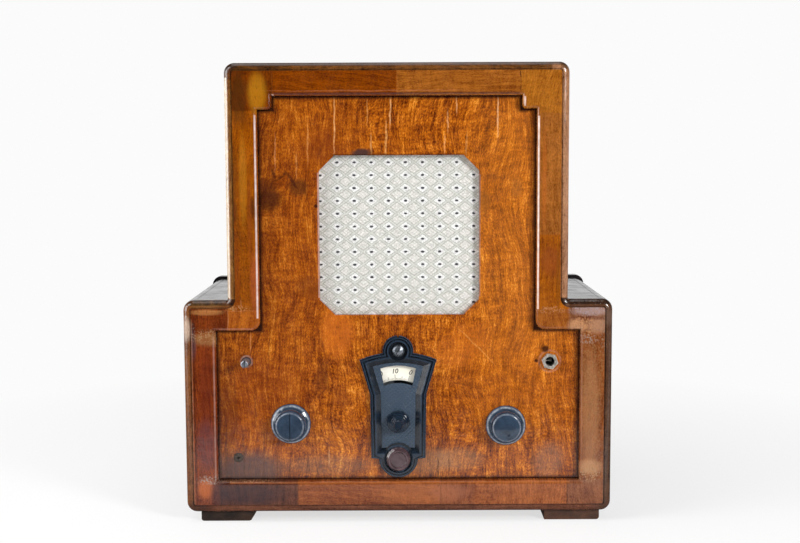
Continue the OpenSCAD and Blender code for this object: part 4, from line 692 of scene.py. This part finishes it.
# Finishes of single pieces, with the same values
ONE_OFF_FINISHES = {
    # Cut shaft, filed and left dull
    "switch_spindle": ("steel_sawn_and_filed", "#bcc2cb", "#7c838e", 0.42, 0.6, 1, 1.6, 0.8, 0.02),
    # Polished steps, blacker than the plate round them
    "stepped_knob": ("phenolic_resin_black_turned_polished", "#121a24", "#1f2b39", 0.06, 0.16, 0, 8,
                     1.1, 0.008),
    # Slotted head gone grey under the screwdriver
    "escutcheon_screw": ("steel_turned_tarnished", "#a4aab2", "#4c535d", 0.3, 0.5, 1, 1.6, 0.7, 0.02),
    # Blind screw under old stain
    "panel_plug": ("steel_stained_with_the_panel", "#4d3f36", "#2e2620", 0.5, 0.7, 0, 1.8, 1, 0.08),
    # The left foot is darker than the right one
    "foot_left": ("beech_planed_stained_dark", "#1d110a", "#382214", 0.5, 0.75, 0, 9, 2, 0.06),
}


def finish_material(name, first, second, low, high, metallic, spot, grit, height):
    """A finish mottled in colour and gloss, with a fine relief: the material, its tree and its shader."""
    material, tree, shader = new_material(name)
    place = millimetres(tree)
    colour = over(tree, first, second, roughened(tree, place, spot, 0, 1, 4))
    dull = roughened(tree, place, spot * 0.6, low, high)
    relief = roughened(tree, place, grit, 0, 1, 4)
    bump = add(tree, "ShaderNodeBump", {"Strength": 0.6, "Distance": height * MM, "Height": relief})
    feed(shader, {"Base Color": colour, "Metallic": metallic, "Roughness": dull, "Normal": bump})
    return material, tree, shader


def glass_material():
    """Blown soda-lime glass: clear, with a dark silver mirror inside the dome of each valve."""
    material, tree, shader = new_material("soda_lime_glass_blown")
    feed(shader, {"Base Color": hex_colour("#eef2f0"), "Roughness": 0.04, "Transmission Weight": 1})
    height = add(tree, "ShaderNodeSeparateXYZ", [millimetres(tree)]).outputs["Z"]
    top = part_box("valve_bulbs")[1].z / MM
    getter = add(tree, "ShaderNodeMapRange", [height, top - 26, top - 14, 0, 0.85])
    mirror = add(tree, "ShaderNodeBsdfPrincipled", {"Base Color": hex_colour("#6f7072"), "Metallic": 1,
                 "Roughness": 0.12})
    both = add(tree, "ShaderNodeMixShader", [getter, shader, mirror])
    feed(tree.nodes["Material Output"], [both])
    return material


def plate_material():
    """Black moulded resin of the dial plate: painted highlight on the rim, painted shade at the foot of the
    walls, ribbed grey field.
    """
    material, tree, shader = finish_material("phenolic_resin_black_moulded_ribbed", "#0f151c", "#1b242f",
                                             0.13, 0.28, 0, 7, 1.1, 0.01)
    x, y, z = add(tree, "ShaderNodeSeparateXYZ", [millimetres(tree)]).outputs
    depth = add(tree, "ShaderNodeMath", [y, PLATE_FRONT], operation="SUBTRACT")
    drop = PLATE_T - FIELD_T
    colour = fed(shader, "Base Color")
    # A painted highlight greys the rim, painted shade darkens the foot of each wall, and the field has
    # dulled: the depths between which each begins, its share and its colour
    for start, end, share, code in ((0.9, 0.1, 0.6, "#2a3747"), (drop - 2.2, drop - 0.2, 0.8, "#0c1117"),
                                    (drop - 0.3, drop - 0.1, 1, "#384554")):
        band = add(tree, "ShaderNodeMapRange", [depth, start, end, 0, share])
        colour = over(tree, colour, code, band)
    # Ribs both ways in the field, 2.8 mm apart, coarser than real so that they show
    half_pitch = 1.4 * math.sqrt(2)
    relief = 0
    for sign in (1, -1):
        slanted = add(tree, "ShaderNodeMath", [z, sign, x], operation="MULTIPLY_ADD")
        rib = add(tree, "ShaderNodeMath", [slanted, half_pitch], operation="PINGPONG")
        relief = add(tree, "ShaderNodeMath", [rib, 0.5, relief], operation="MULTIPLY_ADD")
    relief = add(tree, "ShaderNodeMath", [relief, band], operation="MULTIPLY")
    ribs = add(tree, "ShaderNodeBump", {"Strength": 0.7, "Distance": 0.0004, "Height": relief,
               "Normal": fed(shader, "Normal")})
    feed(shader, {"Base Color": colour, "Normal": ribs})
    return material


def knob_material(node):
    """Black moulded resin of a large knob, with painted highlights in the rim of its flange and of its top.
    """
    material, tree, shader = finish_material(*FINISHES["black_moulding"])
    material.name = f"phenolic_resin_black_rubbed_{node}"
    low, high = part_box(node)
    rim = (high.x - low.x) / 2 / MM
    colour = fed(shader, "Base Color")
    # Painted highlights: pale rings in the rim of the flange and of the top
    for inward, width, code, strength in ((1.7, 1.3, "#aab2bb", 0.9), (6.6, 1.2, "#939ca8", 0.6)):
        colour = worn_ring(tree, millimetres(tree), colour, front_middle(node), rim - inward, width, code,
                           strength)
    feed(shader, {"Base Color": colour})
    return material


def shoulder_material():
    """Black lacquer of the shoulders: a mirror for the backdrop, with a sunk joint along each board."""
    material, tree, shader = finish_material(*FINISHES["cabinet_lacquer"])
    material.name = "black_nitrocellulose_lacquer_over_a_joint"
    across = add(tree, "ShaderNodeSeparateXYZ", [millimetres(tree)]).outputs["X"]
    across = add(tree, "ShaderNodeMath", [across], operation="ABSOLUTE")
    share = 0
    for joint, width, strength in ((199.5, 0.6, 0.9), (203.6, 0.45, 0.5)):
        off = add(tree, "ShaderNodeMath", [across, joint], operation="SUBTRACT")
        off = add(tree, "ShaderNodeMath", [off], operation="ABSOLUTE")
        line = add(tree, "ShaderNodeMapRange", [off, width, width * 0.5, 0, strength])
        share = add(tree, "ShaderNodeMath", [share, line], operation="MAXIMUM")
    dull = add(tree, "ShaderNodeBsdfDiffuse", {"Color": hex_colour("#0b0a0b")})
    both = add(tree, "ShaderNodeMixShader", [share, shader, dull])
    feed(tree.nodes["Material Output"], [both])
    return material


class RADIO_OT_finishes(bpy.types.Operator):
    """Give every CAD node the finish of its material slot"""

    bl_idname = "radio.finishes"
    bl_label = "Finishes"

    def execute(self, context):
        made = {slot: finish_material(*values)[0] for slot, values in FINISHES.items()}
        made["valve_glass"] = glass_material()
        for row in frame["record"]["subparts"]:
            if row["material_slot"] in made:
                dress(made[row["material_slot"]], row["node"])
        dress(plate_material(), "escutcheon")
        for node in ("volume_knob", "reaction_knob"):
            dress(knob_material(node), node)
        dress(shoulder_material(), "shoulder_board_left", "shoulder_board_right")
        for node, finish in ONE_OFF_FINISHES.items():
            dress(finish_material(*finish)[0], node)
        return {"FINISHED"}


# The cloth's diamonds between the dots and round them, from the middle to the lattice
DIAMOND_TONES = (
    ((0, "#e4e1dd"), (0.35, "#dedbd6"), (0.385, "#999a91"), (0.41, "#a5a69d"), (0.435, "#d6d5cf"),
     (0.5, "#cdcdc6")),
    ((0, "#ecebec"), (0.34, "#e8e8e6"), (0.38, "#989a91"), (0.405, "#a3a59b"), (0.43, "#d8d8d2"),
     (0.5, "#cdcdc6")),
)


class RadioClothSettings(bpy.types.PropertyGroup):
    """Speaker cloth."""

    side: FloatProperty(name="Side", description="Side of the square of cloth", default=0.175,
                        unit="LENGTH")
    thickness: FloatProperty(name="Thickness", description="Thickness of the cloth", default=0.0004,
                             unit="LENGTH")
    pitch_across: FloatProperty(name="Pitch across", description="From dot to dot across",
                                default=0.0168, unit="LENGTH")
    pitch_up: FloatProperty(name="Pitch up", description="From dot to dot upwards", default=0.0126,
                            unit="LENGTH")
    dot_colour: FloatVectorProperty(name="Dots", description="Colour of the dots, navy",
                                    default=hex_colour("#161824")[:3], subtype="COLOR")


def cloth_material(settings):
    """Cotton and rayon woven in a lattice: pale silky diamonds, grey-green lines, navy dots, threads."""
    material, tree, shader = new_material("cotton_rayon_brocade_woven")
    place = millimetres(tree)
    woven = swayed(tree, place, (1.3, 1.3, 1.3), 5)
    # Where one of the dots sits
    dot_x, dot_z = -59.2, 358
    moved = add(tree, "ShaderNodeVectorMath", [woven, (-dot_x, 0, -dot_z)], operation="ADD")
    pitches = (settings.pitch_across / MM, 1, settings.pitch_up / MM)
    cell = add(tree, "ShaderNodeVectorMath", [moved, pitches], operation="DIVIDE")
    x, _, z = add(tree, "ShaderNodeSeparateXYZ", [cell]).outputs
    # Distance from a diamond's middle, 0.5 on the lattice, a finer hatch four times as dense, and waves
    # above zero in the diamonds round dots, below zero in those between them
    distance, hatch, waves = 0, 0, 1
    for kind in ("ADD", "SUBTRACT"):
        slant = add(tree, "ShaderNodeMath", [x, z], operation=kind)
        away = add(tree, "ShaderNodeMath", [slant, 0.5], operation="PINGPONG")
        distance = add(tree, "ShaderNodeMath", [distance, away], operation="MAXIMUM")
        line = add(tree, "ShaderNodeMath", [slant, 4], operation="MULTIPLY")
        line = add(tree, "ShaderNodeMath", [line, 0.5], operation="PINGPONG")
        hatch = add(tree, "ShaderNodeMath", [hatch, line], operation="MAXIMUM")
        turn = add(tree, "ShaderNodeMath", [slant, math.pi], operation="MULTIPLY")
        wave = add(tree, "ShaderNodeMath", [turn], operation="COSINE")
        waves = add(tree, "ShaderNodeMath", [waves, wave], operation="MULTIPLY")
    between, round_dots = (ramp_stops(add(tree, "ShaderNodeValToRGB", [distance]), stops)
                           for stops in DIAMOND_TONES)
    near_dot = add(tree, "ShaderNodeMapRange", [waves, -0.02, 0.02, 0, 1])
    colour = over(tree, between, round_dots, near_dot)
    crossed = add(tree, "ShaderNodeMapRange", [hatch, 0.34, 0.5, 0, 0.5])
    apart = add(tree, "ShaderNodeMapRange", [waves, -0.02, 0.02, 1, 0.25])
    colour = over(tree, colour, "#94958c", crossed, apart)
    # Threads drawn 0.9 mm apart, about twice the real spacing, so that they show
    checks = add(tree, "ShaderNodeTexChecker", {"Vector": place, "Scale": 1 / 0.9}).outputs["Fac"]
    speckle = roughened(tree, place, 1.1, 0, 1, 2)
    thread = add(tree, "ShaderNodeMath", [checks, 0.1, speckle], operation="MULTIPLY_ADD")
    shade = add(tree, "ShaderNodeMapRange", [thread, 0, 1.1, 0.68, 0])
    colour = over(tree, colour, "#7f8078", shade)
    # Oval dots, 3.6 by 2.3 mm
    dot_w, dot_h = 3.6, 2.3
    inside = add(tree, "ShaderNodeVectorMath", [cell, (0.5, 0.5, 0.5)], operation="ADD")
    inside = add(tree, "ShaderNodeVectorMath", [inside], operation="FRACTION")
    inside = add(tree, "ShaderNodeVectorMath", [inside, (0.5, 0.5, 0.5)], operation="SUBTRACT")
    to_radii = (pitches[0] / (dot_w / 2), 0, pitches[2] / (dot_h / 2))
    inside = add(tree, "ShaderNodeVectorMath", [inside, to_radii], operation="MULTIPLY")
    away = add(tree, "ShaderNodeVectorMath", [inside], operation="LENGTH").outputs["Value"]
    dot = add(tree, "ShaderNodeMapRange", [away, 0.8, 1.15, 0.97, 0])
    colour = over(tree, colour, [*settings.dot_colour, 1], dot)
    bump = add(tree, "ShaderNodeBump", {"Strength": 0.5, "Distance": 0.0002, "Height": thread})
    feed(shader, {"Base Color": colour, "Roughness": 0.7, "Sheen Weight": 0.15, "Sheen Roughness": 0.4,
                  "Normal": bump})
    return material


class RADIO_OT_cloth(bpy.types.Operator):
    """Stretch the woven cloth over the baffle"""

    bl_idname = "radio.cloth"
    bl_label = "Speaker cloth"

    def execute(self, context):
        settings = context.scene.radio_cloth
        low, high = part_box("speaker_cloth")
        centre = (low + high) / 2
        cells = 90
        places = [settings.side * i / cells - settings.side / 2 for i in range(cells + 1)]
        # The cloth lies slack by a hair between its tacks
        hair = 0.00012
        mesh = bmesh.new()
        rows = []
        for z in places:
            row = []
            for x in places:
                slack = hair * math.sin(x * 95 + z * 31) * math.cos(z * 70 - x * 23)
                row.append(mesh.verts.new((centre.x + x, centre.y + slack, centre.z + z)))
            rows.append(row)
        for lower, upper in zip(rows, rows[1:]):
            for j in range(cells):
                mesh.faces.new((lower[j], lower[j + 1], upper[j + 1], upper[j]))
        cloth = new_piece("stretched_speaker_cloth", mesh, cloth_material(settings))
        thick = cloth.modifiers.new("thickness", "SOLIDIFY")
        thick.thickness = settings.thickness
        thick.offset = 0
        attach(cloth, "cabinet")
        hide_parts("speaker_cloth")
        return {"FINISHED"}


def ink_material():
    """Black printing ink on celluloid: thin, slightly worn, with a low gloss."""
    return finish_material("printing_ink_on_celluloid", "#2b2a28", "#4a4842", 0.35, 0.5, 0, 1.5, 0.6,
                           0.002)[0]


class RadioDialSettings(bpy.types.PropertyGroup):
    """Print on the dial's scale."""

    steps: IntProperty(name="Steps", description="Divisions of the scale", default=100)
    step_angle: FloatProperty(name="Step", description="Turn from one division to the next",
                              default=math.radians(1.8), subtype="ANGLE")
    top_value: FloatProperty(name="At the top", description="Value under the top of the window at rest",
                             default=7.8)
    tick_foot: FloatProperty(name="Tick radius", description="Radius of the ticks' inner ends",
                             default=0.0413, unit="LENGTH")
    tick_length: FloatProperty(name="Tick length", description="Length of the longest ticks",
                               default=0.0055, unit="LENGTH")
    tick_width: FloatProperty(name="Tick width", description="Width of a tick", default=0.0004,
                              unit="LENGTH")
    number_radius: FloatProperty(name="Number radius", description="Radius of the numbers' middles",
                                 default=0.0500, unit="LENGTH")
    number_size: FloatProperty(name="Number size", description="Size of the numbers' type",
                               default=0.0066, unit="LENGTH")


def tick_tree(material):
    """Geometry Nodes of the ticks: a bar for each division, longer at each fifth and tenth."""
    tree = bpy.data.node_groups.new("dial_ticks", "GeometryNodeTree")
    kinds = {"Steps": "Int", "Step angle": "Float", "Top value": "Float", "Foot": "Float",
             "Length": "Float", "Width": "Float", "Centre": "Vector"}
    sockets = {name: tree.interface.new_socket(name, in_out="INPUT", socket_type="NodeSocket" + kind)
               for name, kind in kinds.items()}
    tree.interface.new_socket("Geometry", in_out="OUTPUT", socket_type="NodeSocketGeometry")
    given = add(tree, "NodeGroupInput").outputs
    index = add(tree, "GeometryNodeInputIndex")
    count = add(tree, "ShaderNodeMath", [given["Steps"], 1], operation="ADD")
    points = add(tree, "GeometryNodePoints", {"Count": count})
    # One at each tenth or fifth tick and zero at the others
    ten, five = (add(tree, "ShaderNodeMath", [add(tree, "ShaderNodeMath", [index, every],
                 operation="MODULO"), 0.5], operation="LESS_THAN") for every in (10, 5))
    # A plain tick is 0.36 of the longest, a fifth 0.66 and a tenth all of it
    share = add(tree, "ShaderNodeMath", [five, 0.3, 0.36], operation="MULTIPLY_ADD")
    share = add(tree, "ShaderNodeMath", [ten, 0.34, share], operation="MULTIPLY_ADD")
    length = add(tree, "ShaderNodeMath", [share, given["Length"]], operation="MULTIPLY")
    value = add(tree, "ShaderNodeMath", [given["Top value"], index], operation="SUBTRACT")
    angle = add(tree, "ShaderNodeMath", [value, given["Step angle"]], operation="MULTIPLY")
    radius = add(tree, "ShaderNodeMath", [length, 0.5, given["Foot"]], operation="MULTIPLY_ADD")
    sine = add(tree, "ShaderNodeMath", [angle], operation="SINE")
    cosine = add(tree, "ShaderNodeMath", [angle], operation="COSINE")
    way = add(tree, "ShaderNodeCombineXYZ", [sine, 0, cosine])
    out = add(tree, "ShaderNodeVectorMath", {0: way, "Scale": radius}, operation="SCALE")
    place = add(tree, "ShaderNodeVectorMath", [out, given["Centre"]], operation="ADD")
    points = add(tree, "GeometryNodeSetPosition", {"Geometry": points, "Position": place})
    print_height = 0.00008
    size = add(tree, "ShaderNodeCombineXYZ", [given["Width"], print_height, 1])
    bar = add(tree, "GeometryNodeMeshCube", {"Size": size})
    turn = add(tree, "ShaderNodeCombineXYZ", [0, angle, 0])
    width = add(tree, "ShaderNodeMath", [five, 0.3, 0.7], operation="MULTIPLY_ADD")
    grow = add(tree, "ShaderNodeCombineXYZ", [width, 1, length])
    ticks = add(tree, "GeometryNodeInstanceOnPoints", {"Points": points, "Instance": bar,
                "Rotation": turn, "Scale": grow})
    real = add(tree, "GeometryNodeRealizeInstances", [ticks])
    done = add(tree, "GeometryNodeSetMaterial", {"Geometry": real, "Material": material})
    add(tree, "NodeGroupOutput", [done])
    return tree, {name: socket.identifier for name, socket in sockets.items()}


def dial_ticks(context, settings, centre, ink):
    """The scale's ticks as a plain mesh."""
    tree, identifiers = tick_tree(ink)
    maker = bpy.data.objects.new("maker", bpy.data.meshes.new("maker"))
    context.scene.collection.objects.link(maker)
    modifier = maker.modifiers.new("ticks", "NODES")
    modifier.node_group = tree
    values = {"Steps": settings.steps, "Step angle": settings.step_angle,
              "Top value": settings.top_value, "Foot": settings.tick_foot,
              "Length": settings.tick_length, "Width": settings.tick_width, "Centre": centre}
    for name, value in values.items():
        modifier[identifiers[name]] = value
    depsgraph = context.evaluated_depsgraph_get()
    data = bpy.data.meshes.new_from_object(maker.evaluated_get(depsgraph), depsgraph=depsgraph)
    maker.modifiers.remove(modifier)
    bpy.data.objects.remove(maker)
    ticks = bpy.data.objects.new("dial_ticks", data)
    context.scene.collection.objects.link(ticks)
    return ticks


def dial_numbers(context, settings, centre, ink):
    """The scale's numbers, one at each tenth division, in sloping type a hair thick."""
    joined = bmesh.new()
    for value in range(0, settings.steps + 1, 10):
        curve = bpy.data.curves.new("number", "FONT")
        curve.body = str(value)
        curve.size = settings.number_size
        curve.shear = 0.2
        curve.align_x = "CENTER"
        curve.align_y = "CENTER"
        curve.extrude = 0.00003
        curve.offset = 0.0001
        writing = bpy.data.objects.new("number", curve)
        context.scene.collection.objects.link(writing)
        depsgraph = context.evaluated_depsgraph_get()
        shape = bpy.data.meshes.new_from_object(writing.evaluated_get(depsgraph))
        bpy.data.objects.remove(writing)
        angle = (settings.top_value - value) * settings.step_angle
        shape.transform(Matrix.Translation(centre) @ Matrix.Rotation(angle, 4, "Y")
                        @ Matrix.Translation((0, 0, settings.number_radius))
                        @ Matrix.Rotation(math.radians(90), 4, "X"))
        joined.from_mesh(shape)
    bmesh.ops.remove_doubles(joined, verts=joined.verts, dist=1e-7)
    bmesh.ops.recalc_face_normals(joined, faces=joined.faces)
    return new_piece("dial_numbers", joined, ink)


class RADIO_OT_dial(bpy.types.Operator):
    """Print ticks and numbers on the dial's scale"""

    bl_idname = "radio.dial"
    bl_label = "Dial scale"

    def execute(self, context):
        settings = context.scene.radio_dial
        ink = ink_material()
        low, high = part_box("dial_scale")
        centre = (low + high) / 2
        centre.y = low.y
        for printed in (dial_ticks, dial_numbers):
            piece = printed(context, settings, centre, ink)
            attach(piece, "tuning")
        return {"FINISHED"}


class RADIO_PT_sidebar(bpy.types.Panel):
    """Steps and sizes of the radio, in the 3D view's sidebar"""

    bl_label = "Table radio"
    bl_idname = "RADIO_PT_sidebar"
    bl_space_type = "VIEW_3D"
    bl_region_type = "UI"
    bl_category = "Radio"

    def draw(self, context):
        layout = self.layout
        for step in STEPS:
            layout.operator(f"radio.{step}")
        for group in SETTINGS:
            box = layout.box()
            for name in SETTINGS[group].__annotations__:
                box.prop(getattr(context.scene, group), name)


# The order in which the operators run
STEPS = ("stage", "finishes", "cabinet", "cloth", "dial")
SETTINGS = {"radio_stage": RadioStageSettings, "radio_cloth": RadioClothSettings,
            "radio_dial": RadioDialSettings}
CLASSES = (*SETTINGS.values(), RADIO_OT_stage, RADIO_OT_finishes, RADIO_OT_cabinet, RADIO_OT_cloth,
           RADIO_OT_dial, RADIO_PT_sidebar)


def register():
    for cls in CLASSES:
        bpy.utils.register_class(cls)
    for name, group in SETTINGS.items():
        setattr(bpy.types.Scene, name, PointerProperty(type=group))


def unregister():
    for name in SETTINGS:
        delattr(bpy.types.Scene, name)
    for cls in reversed(CLASSES):
        bpy.utils.unregister_class(cls)


def main():
    register()
    for step in STEPS:
        getattr(bpy.ops.radio, step)()


if __name__ == "__main__":
    main()
